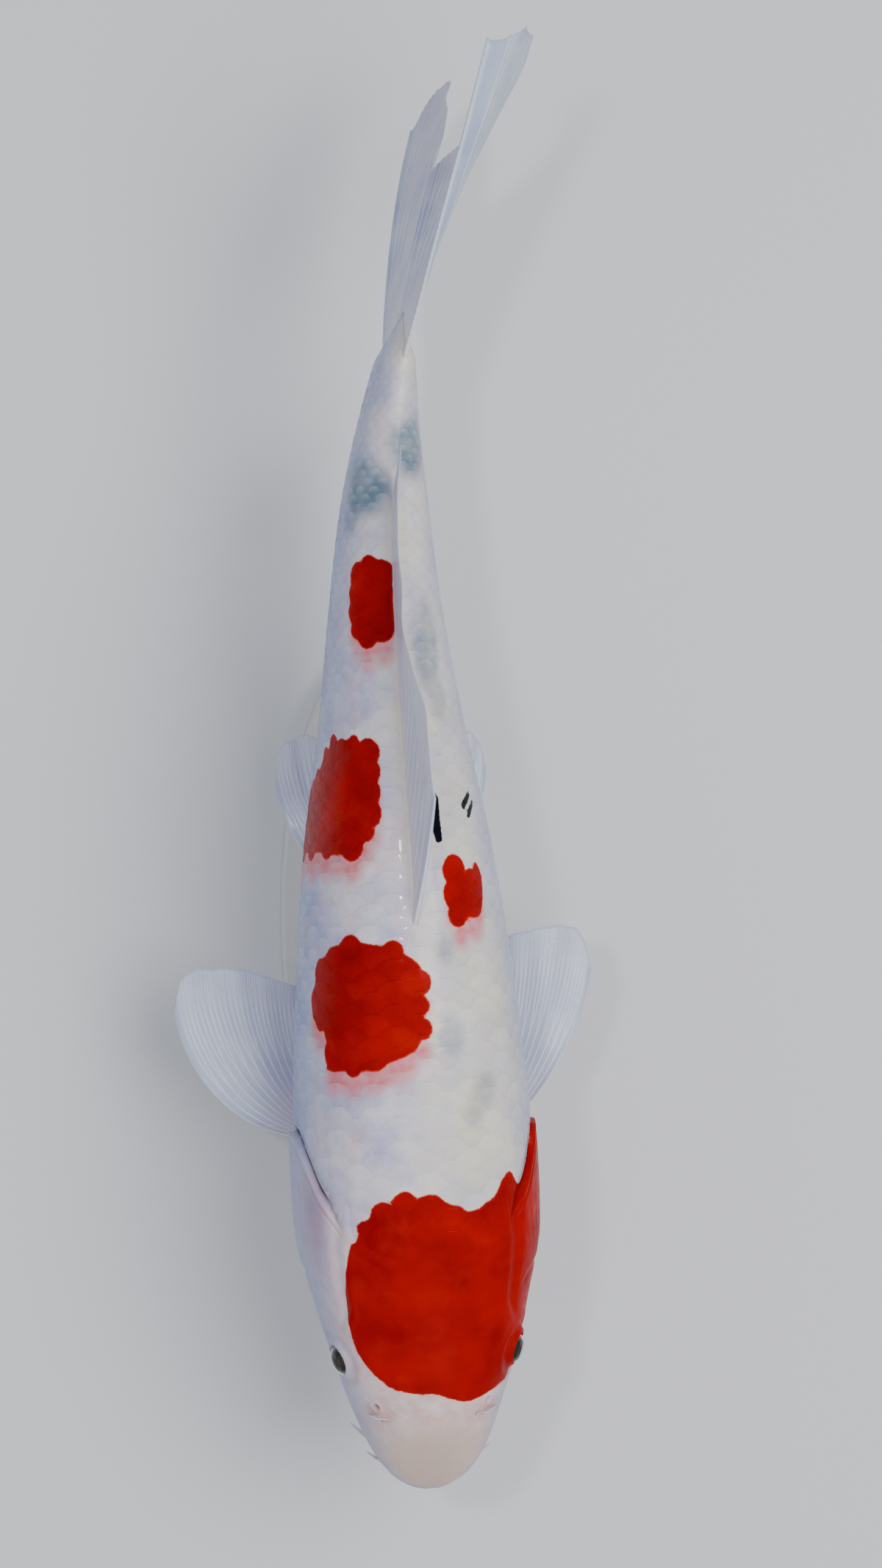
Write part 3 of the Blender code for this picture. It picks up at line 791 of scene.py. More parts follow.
# the skin's rows of points along s, and the forms that stand on it or are pressed into it, in mm
skin = {
    "snoutRows": (0.16, 12, 22),  # first, last and how many, closer together at the front
    "rows": ((12.6, 46, 54), (46.7, 112, 86), (112.4, 126, 46), (126.8, 150, 24), (152, 461, 104)),
    "cols": 292,
    "gillRow": 120,  # the row that follows the gill covers' edges, and where the rows are straight again
    "bent": (58, 200),
    # height, middle and width of each form round the mouth and the eyes
    "upperLip": (0.8, 2.6, 1.7),
    "lowerLip": (1.2, 2.6, 1.7),
    "mouthSlit": (-2.4, 0, 0.8),
    "upperFold": (-0.6, 6.4, 1.3),
    "lowerFold": (-0.6, 6.2, 1.3),
    "lid": (1.5, 6.5, 1.35),
    "lidFold": (-0.35, 10, 1.3),
    "browSwell": (0.25, 13, 1.8),
    # depth, radius and softness of the eye's socket, and the fine creases behind it
    "socket": (5.0, 5.7, 1.2),
    "creases": (0.16, 4.2),
    # the skull's middle ridge and the hollows beside it, and the cheek's crest and groove
    "ridge": (0.35, 0, 7),
    "hollow": (-0.45, 24, 9),
    "crest": (0.5, -5, 3.5),
    "groove": (-1.0, 1.5, 3.4),
    "cheekFold": (-0.55, 27, 1.5),
    "jawFold": (-0.35, 17, 1.0),
    # lines of pores, as (girth, spacing)
    "pores": ((33, 4.2), (57, 4.6)),
    "poreDepth": 0.22,
    # the gill cover: how far it stands out, its soft rim, the slit behind it, its ribs and lower rays
    "coverRise": 1.7,
    "rim": (-0.5, 3.6, 0.8),
    "slit": (-2.2, -1.2, 1.0),
    "ribs": 0.07,
    "rays": 0.3,
    "nape": (-0.15, 2.5, 4.5),
    "finSeat": (1.5, 0, 2.4),  # the flesh along the dorsal fin's root
}


def formed(name, value):
    height, at, width = skin[name]
    return height * bump(value, at, width)


def mouthCurve(count=140):
    # the mouth's line round the snout, from the right corner to the left one
    s, z = np.array(head["mouthLine"]).T * mm
    fineS = s[0] + (s[-1] - s[0]) * np.linspace(0, 1, count) ** 3
    fineZ = np.interp(fineS, s, z)
    half, _, belly, level, _, below = bodySizes(fineS)
    reach = np.clip((level - fineZ) / (level - belly), 0, 1)
    x = half * np.clip(1 - reach**below, 0, 1) ** (1 / below)
    left = np.stack([fineS, x, fineZ], axis=-1)
    return np.concatenate([left[::-1] * (1, -1, 1), left])


def coatDepth(s, angle):
    return between(head["coatDepth"], eased(s - gillEdge(angle), 0, head["coatEases"]))


# painted shade in a recess: the mouth's slit, the eye's socket, the nostrils and the gill slit
def paintShade(masks, much):
    masks["slit"] = np.maximum(masks["slit"], much)


def mouthForm(at, masks):
    # a slit between two soft lips, with a fold behind each
    s, place = at["s"], at["place"]
    curve, front = mouthCurve(), s < 45
    away = np.full(s.shape, 1000.0)
    away[front] = np.min(np.linalg.norm(place[front][:, None] - curve[None], axis=-1), axis=1) / mm
    above = place[..., 2] / mm > np.interp(s, *np.array(head["mouthLine"]).T)
    thick = fading(s, 26, 8)
    masks["lips"] = 0.55 * np.clip(1 - away / 3.6, 0, 1) * thick
    # painted shade along the mouth's slit
    paintShade(masks, bump(away, 0, 0.7) * thick)
    lip = np.where(above, formed("upperLip", away), formed("lowerLip", away))
    fold = np.where(above, formed("upperFold", away), formed("lowerFold", away))
    return thick * (lip + fold + formed("mouthSlit", away))


def eyeForms(at, masks):
    # a socket, a soft lid round it, a fold outside that, and fine creases behind
    rise, eye = 0, head["eye"]
    depth, radius, soft = skin["socket"]
    for sign in (1, -1):
        centre = straightPlace(eye["s"], sign * eye["angle"])
        away = np.linalg.norm(at["place"] - centre, axis=-1) / mm
        rise = rise + formed("lid", away) + formed("lidFold", away) + formed("browSwell", away)
        rise = rise - depth * fading(away, radius, soft)
        # painted shade in the socket round the ball
        paintShade(masks, 0.85 * fading(away, radius, 0.7))
        height, closeness = skin["creases"]
        behind = within(away, 8, 1.5, 15, 3) * eased(at["s"] - eye["s"] / mm, -3, 8)
        rise = rise + height * np.sin(away * closeness) * behind
    return rise


def nostrilForms(at, masks):
    # two pits on each side, with a fold that runs forward and in
    s, side = at["s"], at["side"]
    rise = 0.35 * bump(s - 31 + (side - 28) * 0.28, 0, 0.9) * bump(side, 27, 6)
    for sign in (1, -1):
        for pitAt, turn, radius in head["nostrils"]:
            centre = straightPlace(pitAt * mm, sign * math.radians(turn))
            away = np.linalg.norm((at["place"] - centre) * (1, 1.15, 1.15), axis=-1) / mm
            rise = rise + 0.35 * bump(away, radius + 0.8, 0.7) - 1.7 * fading(away, radius, 0.9)
            # painted shade in each nostril's pit
            paintShade(masks, 0.6 * fading(away, radius, 1.2))
    return rise


def skullForm(at, masks):
    # a low ridge on the midline, hollows beside it, and rows of pores
    s, side = at["s"], at["side"]
    onHead = eased(at["before"], 0, 3) * eased(s, 14, 14)
    rise = formed("ridge", side) + formed("hollow", side) * eased(s, 46, 16)
    for line, spacing in skin["pores"]:
        pores = bump(np.mod(s, spacing), spacing / 2, 0.55)
        rise = rise - skin["poreDepth"] * pores * bump(at["girth"], line * eased(s, 20, 60) + 6, 0.6)
    return onHead * rise


def cheekForm(at, masks):
    # a groove from the eye's rear to the top of the gill cover, and two folds round the cheek
    s, side = at["s"], at["side"]
    crest = 44 + 14 * fading(s, 78, 16)
    groove = formed("crest", side - crest) + formed("groove", side - crest)
    arc = np.hypot(s - 62, (side - 84) * 0.62)
    cheek = formed("cheekFold", arc) * eased(s, 64, 8) * within(side, 52, 10, 150, 12)
    jaw = formed("jawFold", arc) * (side > 84) * fading(side, 140, 12)
    return groove * within(s, 66, 8, 122, 6) + cheek + jaw


def gillForm(at, masks):
    # the gill cover rises to its free edge, drops into the slit, and the shoulder starts behind
    s, side, before = at["s"], at["side"], at["before"]
    covered = within(side, 40, 10, 172, 8)
    # painted shade in the slit behind the cover's edge
    paintShade(masks, within(side, 49, 9, 172, 8) * within(before, -2.5, 1.0, 0, 0.6))
    rise = skin["coverRise"] * eased(s, 70, 50) * eased(before, -0.1, 0.7)
    rise = rise + formed("rim", before) + formed("slit", before)
    turn = np.arctan2((side - 66) * 0.8, s - 78)
    ribs = np.sin(turn * 34 + 0.5 * np.sin(s * 0.3)) * eased(s, 84, 12) * eased(before, 3, 6)
    rays = np.sin(before * 1.5) * eased(side, 138, 10) * within(before, 0, 3, 22, 6)
    return covered * (rise + skin["ribs"] * ribs * fading(side, 128, 10) + skin["rays"] * rays)


def scaledForm(at, masks):
    # the groove of the nape, and behind the head the skin lies under the scales
    s, side, before = at["s"], at["side"], at["before"]
    nape = fading(side, 46, 6)
    scaled = eased(-before, 0.2, 1.6 + 6 * nape)
    # the gill cover's hollow: the pink of the gills showing through, with painted shade
    masks["gillPinkAndShade"] = bump(s, 112, 18) * bump(side, 58, 12)
    masks["bare"] = (1 - scaled) * (1 - 0.35 * eased(s, 60, 40))
    masks["snout"] = fading(s, 42, 26) * bump(side, 0, 62)
    seat = formed("finSeat", at["girth"]) * within(s, 224, 8, 386, 8)
    return formed("nape", before) * nape - at["coat"] * scaled + seat


def headForms(s, angle, place):
    # how far each point of the skin stands out, and masks for its colour
    at = {
        "s": s / mm,
        "side": np.abs(np.degrees(angle)),
        "place": place,
        "before": (gillEdge(angle) - s) / mm,
        "girth": halfGirth(s) * np.abs(angle) / math.pi / mm,
        "coat": coatDepth(s, angle) / mm,
    }
    masks = {key: np.zeros(s.shape) for key in ("bare", "snout", "lips", "slit", "gillPinkAndShade")}
    forms = (mouthForm, eyeForms, nostrilForms, skullForm, cheekForm, gillForm, scaledForm)
    return sum(form(at, masks) for form in forms) * mm, masks


def flankToneAndBlueLight(angle):
    # how far the white has turned blue, the skin's own cool tone with painted blue light from the sides: not
    # on the back, most low on the flank, less on the belly
    side = np.abs(np.degrees(angle))
    return markings["flankTint"] * eased(side, 34, 46) * (1 - markings["bellyLoses"] * eased(side, 104, 46))


def buildSkin():
    first, last, count = skin["snoutRows"]
    rows = [np.linspace(math.sqrt(first), math.sqrt(last), count) ** 2]
    s = np.concatenate(rows + [np.linspace(*row) for row in skin["rows"]]) * mm
    cols, gillRow = skin["cols"], skin["gillRow"] * mm
    share = np.linspace(-1, 1, cols + 1)[:-1]
    # the rows bend to run along the gill covers' free edges
    edge = np.full(cols, gillRow)
    for _ in range(12):
        edge = gillEdge(angleAt(edge, share))
    s, share = np.meshgrid(s, share, indexing="ij")
    bent = np.interp(s / mm, (skin["bent"][0], skin["gillRow"], skin["bent"][1]), (0, 1, 0))
    s = s + (edge[None] - gillRow) * bent
    angle = angleAt(s, share)
    straight = straightPlace(s, angle)
    rise, masks = headForms(s, angle, straight)
    points = bend(straight) + outward(s, angle) * rise[..., None]
    masks.update(markingMasks(s, share))
    masks["flank"] = flankToneAndBlueLight(angle)
    masks = {
        key: np.concatenate([[value[0].mean()], value.ravel(), [value[-1].mean()]])
        for key, value in masks.items()
    }
    points = np.concatenate([[onBody(0, 0)], points.reshape(-1, 3), [points[-1].mean(axis=0)]])
    faces, corners = tubeFaces(len(s), cols, True, wholeTile)
    makePiece("koiSkin", points, faces, corners, skinLook, masks, "white_skin", (
        "head", "lower_jaw", "gill_cover_left", "gill_cover_right", "trunk", "tail_stalk",
    ))


buildSkin()
print("skin made")


def scaleTemplate(rows=9, cols=13):
    # along runs 0 to 1 from root to tip, across -1 to 1; the rear is half an ellipse
    rear = scales["round"] / scales["reach"]
    turn = np.linspace(0, 1, rows)
    onRear = turn >= 0.25
    late = np.clip((turn - 0.25) / 0.75, 0, 1) * 0.94 * math.pi / 2
    along = np.where(onRear, 1 - rear + rear * np.sin(late), turn / 0.25 * (1 - rear))
    width = np.where(onRear, np.cos(late), 0.8 + 0.8 * turn)
    closing = math.pi / 2 * 0.85  # points stand closer together towards the sides
    across = np.sin(np.linspace(-closing, closing, cols)) / math.sin(closing)
    # the last ring bends round the tip
    tipped = np.clip((turn - 0.75) / 0.25, 0, 1)
    a = along[:, None] + (1 - along[-1]) * (1 - across[None] ** 2) * tipped[:, None]
    b = width[:, None] * across[None]
    grid = np.arange(rows * cols).reshape(rows, cols)
    rim = np.concatenate([grid[:, 0], grid[-1, 1:], grid[-2::-1, -1], grid[0, -2:0:-1]]).tolist()
    quads = np.stack([grid[:-1, :-1], grid[:-1, 1:], grid[1:, 1:], grid[1:, :-1]], axis=-1).reshape(-1, 4)
    return a.ravel(), b.ravel(), rim, quads.tolist()


scaleAlong, scaleAcross, scaleRim, scaleQuads = scaleTemplate()


def scaleHeights(place, share, length, s, angle):
    # how far each point of each scale's outer face stands out from the body
    a, b = scaleAlong[None], scaleAcross[None]
    small = np.clip(halfGirth(place) / scales["rows"] / (9.5 * mm), 0.3, 1)[:, None]
    fromHead = eased(place - gillEdge(angleAt(place, share)), 0, head["coatEases"])
    steep = between(scales["tilt"], fromHead)[:, None]
    top = 0.05 * mm - coatDepth(s, angle) + steep * a * length[:, None]
    top = top + scales["crown"] * (1 - b**2) * small - scales["rootDip"] * fading(a, 0.12, 0.12)
    rear = scales["round"] / scales["reach"]
    outer = np.hypot(b, np.maximum(a - 1 + rear, 0) / rear)
    top = top - scales["rimDrop"] * eased(outer, 0.84, 0.16)
    lateral = np.isclose(np.abs(share), scales["poreRow"] / scales["rows"])[:, None]
    top = top + lateral * scales["poreRise"] * bump(b, 0, 0.1) * within(a, 0.4, 0.15, 0.93, 0.1)
    # what reaches ahead of the gill cover's edge or the nape lies under it
    sideways = eased(np.abs(np.degrees(angle)), 42, 8)
    ahead = gillEdge(angle) + between(scales["diveFrom"], sideways) - s
    return top - between(scales["diveDepth"], sideways) * eased(ahead, -0.3 * mm, 1.8 * mm)


def scaleFaces(middles, span):
    # each scale is a domed face, a rim and a back, with its own patch of the unwrap
    a, b, rim = scaleAlong, scaleAcross, scaleRim
    topUv = np.stack([b * 0.3 - 0.12, (a - 0.5) * 0.7], axis=-1) * span
    rimUv = np.stack([b * 0.345 - 0.12, (a - 0.5) * 0.86], axis=-1)[rim] * span
    backUv = np.stack([b * 0.1 + 0.36, (a - 0.5) * 0.3], axis=-1)[rim] * span
    faces, corners = [], []
    per, turns = len(a), len(rim)
    for index, middle in enumerate(middles):
        start = index * (per + turns)
        onTop, onRim, onBack = ((middle + uv).tolist() for uv in (topUv, rimUv, backUv))
        for quad in scaleQuads:
            faces.append(tuple(start + q for q in quad))
            corners += [onTop[q] for q in quad]
        for k in range(turns):
            n = (k + 1) % turns
            faces.append((start + rim[k], start + rim[n], start + per + n, start + per + k))
            corners += [onTop[rim[k]], onTop[rim[n]], onRim[n], onRim[k]]
        faces.append(tuple(start + per + k for k in range(turns - 1, -1, -1)))
        corners += onBack[::-1]
    return faces, corners


def buildScales(name, roots, tiles):
    place, share, pitch, slot = roots.T
    jitter = dice.uniform(-1, 1, (len(roots), 3))
    length = pitch * scales["reach"] * (1 + scales["uneven"] * jitter[:, 0])
    width = halfGirth(place) / scales["rows"] * scales["halfWidth"] * (1 + scales["uneven"] * jitter[:, 2])
    s = np.minimum(place[:, None] + scaleAlong[None] * length[:, None], body["length"] - 0.5 * mm)
    around = share[:, None] + scaleAcross[None] * width[:, None] / halfGirth(s)
    around = (around + 1) % 2 - 1
    angle = angleAt(s, around)
    surface, out = onBody(s, angle), outward(s, angle)
    top = scaleHeights(place, share, length, s, angle)[..., None]
    under = (surface + out * (top - scales["thick"]))[:, scaleRim]
    points = np.concatenate([surface + out * top, under], axis=1)
    masks = markingMasks(s, around)
    masks["flank"] = flankToneAndBlueLight(angle)
    masks["edge"] = np.broadcast_to(scaleAlong, s.shape)
    masks["chance"] = np.broadcast_to((jitter[:, :1] + 1) / 2, s.shape)
    masks = {key: np.concatenate([value, value[:, scaleRim]], axis=1) for key, value in masks.items()}
    # the unwrap has a column for each row of scales and a place down it for each scale of the row
    span = np.array([1 / scales["rows"], 1 / tiles])
    columns = np.abs(share) * (1 - span[0]) + 0.5 * span[0]
    middles = np.stack([columns, 1 - span[1] * (tiles - (slot - slot.min()) - 0.5)], axis=-1)
    makePiece(name, points, *scaleFaces(middles, span), scaleLook, masks, "white_skin")
    print(name, len(roots), "scales")


onMiddle = (np.abs(allRoots[:, 1]) < 1e-6) | (allRoots[:, 1] < -0.999)
onLeft, inFront = allRoots[:, 1] > 0, allRoots[:, 3] < scales["tiles"]
for sideName, onSide in (("Left", onLeft), ("Right", ~onLeft)):
    for endName, atEnd in (("Front", inFront), ("Rear", ~inFront)):
        buildScales("scales" + sideName + endName, allRoots[onSide & atEnd & ~onMiddle], scales["tiles"])
buildScales("scalesMidline", allRoots[onMiddle], 2 * scales["tiles"])
print("scales made")


# A fin is a fan of rays from a root line "front" to "rear", each (s, angle from the back), or
# (s, z) where "onTail" is set. Lengths and billow are mm, aim and curl degrees for the first
# and last ray.
fins = {
    "dorsalFin": {
        "front": (224, 0), "rear": (385, 0), "out": (0.27, 0.963), "aim": (38, 15), "curl": (-16, -4),
        "lengths": (60, 62, 52, 42, 35, 30, 26, 22), "billow": 3, "rays": 20, "ripple": 0.9,
    },
    "analFin": {
        "front": (352, 180), "rear": (380, 180), "out": (-0.05, -0.999), "aim": (38, 14), "curl": (-14, -4),
        "lengths": (52, 56, 48, 38, 30), "billow": 1, "rays": 8, "ripple": 0.6,
    },
    "pelvicFinLeft": {
        "front": (240, 147), "rear": (253, 161), "out": (0.93, -0.37), "aim": (50, -2), "curl": (-50, -2),
        "lengths": (52, 56, 54, 47, 38), "billow": 3, "rays": 9, "ripple": 0.8,
    },
    "pelvicFinRight": {
        "front": (240, -147), "rear": (253, -161), "out": (-0.93, -0.37), "aim": (53, 2), "curl": (-56, -2),
        "lengths": (52, 56, 54, 47, 38), "billow": -3, "rays": 9, "ripple": 0.8,
    },
    "pectoralFinLeft": {
        "front": (138, 117), "rear": (150, 138), "out": (0.98, -0.20), "aim": (50, -4), "curl": (-40, -2),
        "lengths": (77, 82, 77, 70, 61, 51), "billow": 5, "rays": 16, "ripple": 1.0,
    },
    "pectoralFinRight": {
        "front": (138, -117), "rear": (150, -138), "out": (-0.98, -0.20), "aim": (82, 2), "curl": (-90, -2),
        "lengths": (81, 78, 70, 61, 52, 46), "billow": -5, "rays": 16, "ripple": 1.0,
    },
    "tailFinUpper": {
        "front": (440, 26), "rear": (447, 0.2), "out": (0, 1), "aim": (27, 1), "curl": (-16, -2),
        "lengths": (129, 136, 131, 117, 101, 86, 74), "billow": -20, "rays": 11, "ripple": 1.4,
        "lean": -0.12, "tipTrim": 0.02, "onTail": True,
    },
    "tailFinLower": {
        "front": (440, -25), "rear": (447, -0.2), "out": (0, -1), "aim": (27, 1), "curl": (-16, -2),
        "lengths": (112, 126, 125, 113, 98, 84, 74), "billow": 6, "rays": 11, "ripple": 1.4,
        "tipTrim": 0.03, "onTail": True,
    },
}
finForm = {
    "lean": 0, "onTail": False,
    "skew": 0.7, "rise": 1.4,  # where along and across the billow is fullest
    "sink": 5 * mm,  # how far the root goes into the flesh
    "rayThick": (0.5 * mm, 0.2 * mm),  # half thickness at root and tip
    "webThick": (0.37 * mm, 0.14 * mm),
    "leadThick": 0.45 * mm,  # how much thicker the first ray is
    "forks": ((0.235, 0.36, 0.28), (0.115, 0.66, 0.24)),  # how wide each fork spreads, from where, over what
    "perRay": 14, "joints": 42,
    "fray": 0.008, "torn": 0.004,
    "tipTrim": 0.09,  # how much shorter the first ray's very edge is, which rounds the corner
    "rearTrim": 0.05,
}


def finMiddle(spec, share, along):
    # the (s, x, z) places on a fin's middle surface
    lengths = np.array(spec["lengths"])
    length = np.interp(share * (len(lengths) - 1), range(len(lengths)), lengths) * mm
    aim, curl = np.radians(between(spec["aim"], share)), np.radians(between(spec["curl"], share))
    s, seat = (between((front, rear), share) for front, rear in zip(spec["front"], spec["rear"]))
    if spec["onTail"]:
        root = np.stack([s, s * 0, seat], axis=-1) * mm
    else:
        root = straightPlace(s * mm, np.radians(seat))
    ahead = np.maximum(along, 0)
    reach = np.where(along < 0, spec["sink"], length) * along
    turn = aim + curl * ahead / 2
    back, away = np.array([1, 0, 0]), np.array([0, *spec["out"]])
    points = root + (np.cos(turn) * reach)[..., None] * back + (np.sin(turn) * reach)[..., None] * away
    belly = spec["billow"] * mm * np.sin(math.pi * share ** spec["skew"]) * ahead ** spec["rise"]
    points = points + np.cross(back, away) * belly[..., None]
    behind = np.maximum(0, points[..., 0] - body["length"]) / (body["totalLength"] - body["length"])
    points[..., 1] += spec["lean"] * points[..., 2] * behind
    return points


def rayHeight(spec, share, along):
    # 1 on a ray and 0 on the web: each ray but the first forks twice on its way out
    place = share * (spec["rays"] - 1)
    away = place - np.round(place)
    spreads = [much * eased(along, start, run) * (place >= 0.6) for much, start, run in spec["forks"]]
    width = 0.13 - 0.07 * np.clip(along, 0, 1)
    made = np.zeros(share.shape)
    for a in (-1, 1):
        for b in (-1, 1):
            made = np.maximum(made, bump(away, a * spreads[0] + b * spreads[1], width))
    return made


def buildFin(name, spec, look):
    spec = {**finForm, **spec}
    across = (spec["rays"] - 1) * spec["perRay"] + 1
    share = np.linspace(0, 1, across)
    along = np.concatenate([[-1, -0.4], np.linspace(0, 1, spec["joints"]) ** 0.94])
    alongs, shares = np.meshgrid(along, share, indexing="ij")
    late = np.clip(alongs, 0, 1)
    phase = dice.uniform(0, 6.28, 4)
    # the free edge is frayed between the rays, a little torn, and rounded at both corners
    rayed = rayHeight(spec, shares, alongs)
    torn = np.sin(shares * 19 + phase[0]) + 0.6 * np.sin(shares * 43 + phase[1])
    short = spec["fray"] * (1 - rayHeight(spec, share, np.ones(across)))[None] + spec["torn"] * (1 + torn)
    short = short + spec["tipTrim"] * bump(shares, 0, 0.06) + spec["rearTrim"] * np.exp(-(1 - shares) / 0.05)
    middle = bend(finMiddle(spec, shares, alongs * (1 - short * late**3)))
    normal = facing(middle)
    wave = np.sin(shares * 15 + phase[2] + 2.2 * late) * 0.7 + np.sin(shares * 31 + phase[3]) * 0.3
    fadeIn = np.sin(np.clip(shares, 0, 1) * math.pi) ** 0.5
    middle = middle + normal * (wave * fadeIn * late**1.6 * spec["ripple"] * mm)[..., None]
    web = between(spec["webThick"], late**0.5)
    half = web + (between(spec["rayThick"], late**0.7) - web) * rayed
    half = half * (1 - 0.75 * eased(late, 0.985, 0.02))
    leading = bump(shares * (spec["rays"] - 1), 0, 0.55)
    half = half + spec["leadThick"] * leading * (1 - 0.6 * late)
    points, faces, corners = plate(middle, half, normal)
    masks = {"ray": bothSides(rayed, rayed), "along": bothSides(late, late)}
    makePiece(name, points, faces, corners, look, masks, "fin", (cadName(name),))


def finMaterial(name, tint, clearness, rayShows=0.16):
    made, tree, shader = newMaterial(name, {
        "Coat Weight": 0.2, "Coat Roughness": 0.2, "Subsurface Weight": 0.3, "Subsurface Scale": 3 * mm,
    })
    ray, along = mask(tree, "ray"), mask(tree, "along")
    # the joints of the rays, as thin lines across them
    joints = worked(tree, "SINE", times(tree, along, 260.0))
    joined = times(tree, ramped(tree, joints, 0.2, 1.0, 0, 0.3), ray)
    paint = layered(
        tree, tint,
        (mottled(tree, "finMilk"), "fin"),
        (ramped(tree, ray, 0.1, 0.9, 0, 0.5), "finRay"),
        (ramped(tree, along, 0, 0.28, 0.75, 0), "back"),
        (joined, tint),
    )
    clear = ramped(tree, along, 0.05, 1.0, *clearness)
    raySolid = times(tree, ramped(tree, ray, 0.1, 0.8), rayShows)
    connect(tree, shader, {
        "Base Color": paint,
        "Alpha": worked(tree, "ADD", clear, raySolid, clamped=True),
        "Roughness": mottled(tree, "finGloss"),
        "Normal": bumped(tree, plus(tree, times(tree, joined, -0.8), pebbled(tree, 700.0, 0.7)), 0.2),
    })
    return made


finLook = finMaterial("finWeb", "finTint", (0.95, 0.66))
tailLook = finMaterial("tailWeb", "tailTint", (0.96, 0.72))
for finName, finSpec in fins.items():
    buildFin(finName, finSpec, tailLook if "onTail" in finSpec else finLook)
print("fins made")


eyeForm = {
    "pupil": 3.3 * mm,
    "iris": 5.6 * mm,
    "irisDepth": 1.2 * mm,  # behind the cornea's top
    "irisIn": 0.35 * mm,  # how far inside the ball the iris's rim lies
    "slope": (0.35, 0.7, 1.0),  # where the iris has rows, from the pupil to its rim
    # the pupil's pit, as (mm behind the iris, radius in pupils, mask)
    "pit": ((0.9, 0, 0), (0.9, 0.6, 0.3), (0.8, 0.92, 0.46), (0.2, 1, 0.5), (0, 1.1, 0.56)),
    "inSocket": 0.25 * mm,  # how much smaller the ball is than the eye
    "cornea": 0.3 * mm,
    "corneaOut": 0.1 * mm,
    "white": 1.3,  # the ball's mask beyond the iris
}


def aroundOnce(count):
    return np.linspace(0, 2 * math.pi, count + 1)[:-1]


def turnedPiece(name, profile, centre, axis, look, replaced=(), turns=48):
    # profile is (distance along the axis, radius, mask) from tip to tail, the first and last on the axis
    axis = Vector(axis).normalized()
    side = axis.orthogonal().normalized()
    other = axis.cross(side)
    spokes = np.array([side * math.cos(t) + other * math.sin(t) for t in aroundOnce(turns)])
    along, radius, out = np.array(profile).T
    onAxis = centre + np.array(axis) * along[:, None]
    rings = onAxis[1:-1, None] + spokes[None] * radius[1:-1, None, None]
    points = np.concatenate([onAxis[:1], rings.reshape(-1, 3), onAxis[-1:]])
    faces, corners = tubeFaces(len(profile) - 2, turns, True, wholeTile)
    out = np.concatenate([out[:1], np.repeat(out[1:-1], turns), out[-1:]])
    makePiece(name, points, faces, corners, look, {"out": out}, "eye", replaced)


def eyeMaterial():
    made, tree, shader = newMaterial("eyeBall", {"Specular IOR Level": 0.2})
    out = mask(tree, "out")  # 0 at the middle of the pupil, 1 at the iris edge, more on the white
    ring = times(tree, ramped(tree, out, 0.5, 0.53), ramped(tree, out, 0.68, 0.58))
    iris = layered(tree, "irisDark", (mottled(tree, "iris"), "irisGold"))
    paint = layered(
        tree, "pupil",
        (ramped(tree, out, 0.5, 0.54), layered(tree, iris, (ramped(tree, out, 0.62, 1.0), "irisRim"))),
        (ring, "irisRing"),
        (ramped(tree, out, 0.94, 1.06), "eyeWhite"),
    )
    connect(tree, shader, {
        "Base Color": paint,
        "Normal": bumped(tree, mottled(tree, "eyeGrain"), 0.15, 0.2 * mm),
    })
    return made


def corneaMaterial():
    made, tree, shader = newMaterial("eyeCornea", {"Transmission Weight": 1.0, "Roughness": 0.0, "IOR": 1.34})
    connect(tree, shader, {"Base Color": layered(tree, "tearClear", (mottled(tree, "tear"), "tearCool"))})
    return made


eyeLook, corneaLook = eyeMaterial(), corneaMaterial()


def eyeCentre(s, angle, sink):
    # the eye sits square under the body's surface
    half, back, _, level, full, _ = bodySizes(s)
    across = np.sign(angle) * np.abs(np.sin(angle)) ** (2 - 2 / full) / half
    rising = np.abs(np.cos(angle)) ** (2 - 2 / full) / (back - level)
    return bend(straightPlace(s, angle) - unit(np.array([0, across, rising])) * sink)


def arcRows(radius, first, last, count, out=0):
    turns = np.radians(np.linspace(first, last, count))
    return [(radius * math.cos(turn), radius * math.sin(turn), out) for turn in turns]


def buildEye(side, sign):
    spec, white = head["eye"], eyeForm["white"]
    s, angle = spec["s"], sign * spec["angle"]
    centre, axis = eyeCentre(s, angle, spec["sink"]), outward(s, angle)
    iris, pupil = eyeForm["iris"], eyeForm["pupil"]
    radius = spec["radius"] - eyeForm["inSocket"]
    face = radius - eyeForm["irisDepth"]
    rim = math.sqrt(radius**2 - iris**2) - eyeForm["irisIn"], iris, 1
    # the pupil is a pit, the iris slopes up to it, and the white goes on round the ball
    ball = [(face - back * mm, pupil * wide, out) for back, wide, out in eyeForm["pit"]]
    lip = ball[-1]
    ball += [[between(ends, t) for ends in zip(lip, rim)] for t in eyeForm["slope"]]
    ball += arcRows(radius, 58, 172, 12, white) + [(-radius, 0, white)]
    turnedPiece("eyeBall" + side, ball, centre, axis, eyeLook, (cadName("eye" + side),))
    shell = spec["radius"] + eyeForm["corneaOut"]
    cap = arcRows(shell, 0, 62, 14) + arcRows(shell - eyeForm["cornea"], 62, 0, 14)
    turnedPiece("cornea" + side, cap, centre, axis, corneaLook)


buildEye("Left", 1)
buildEye("Right", -1)
print("eyes made")


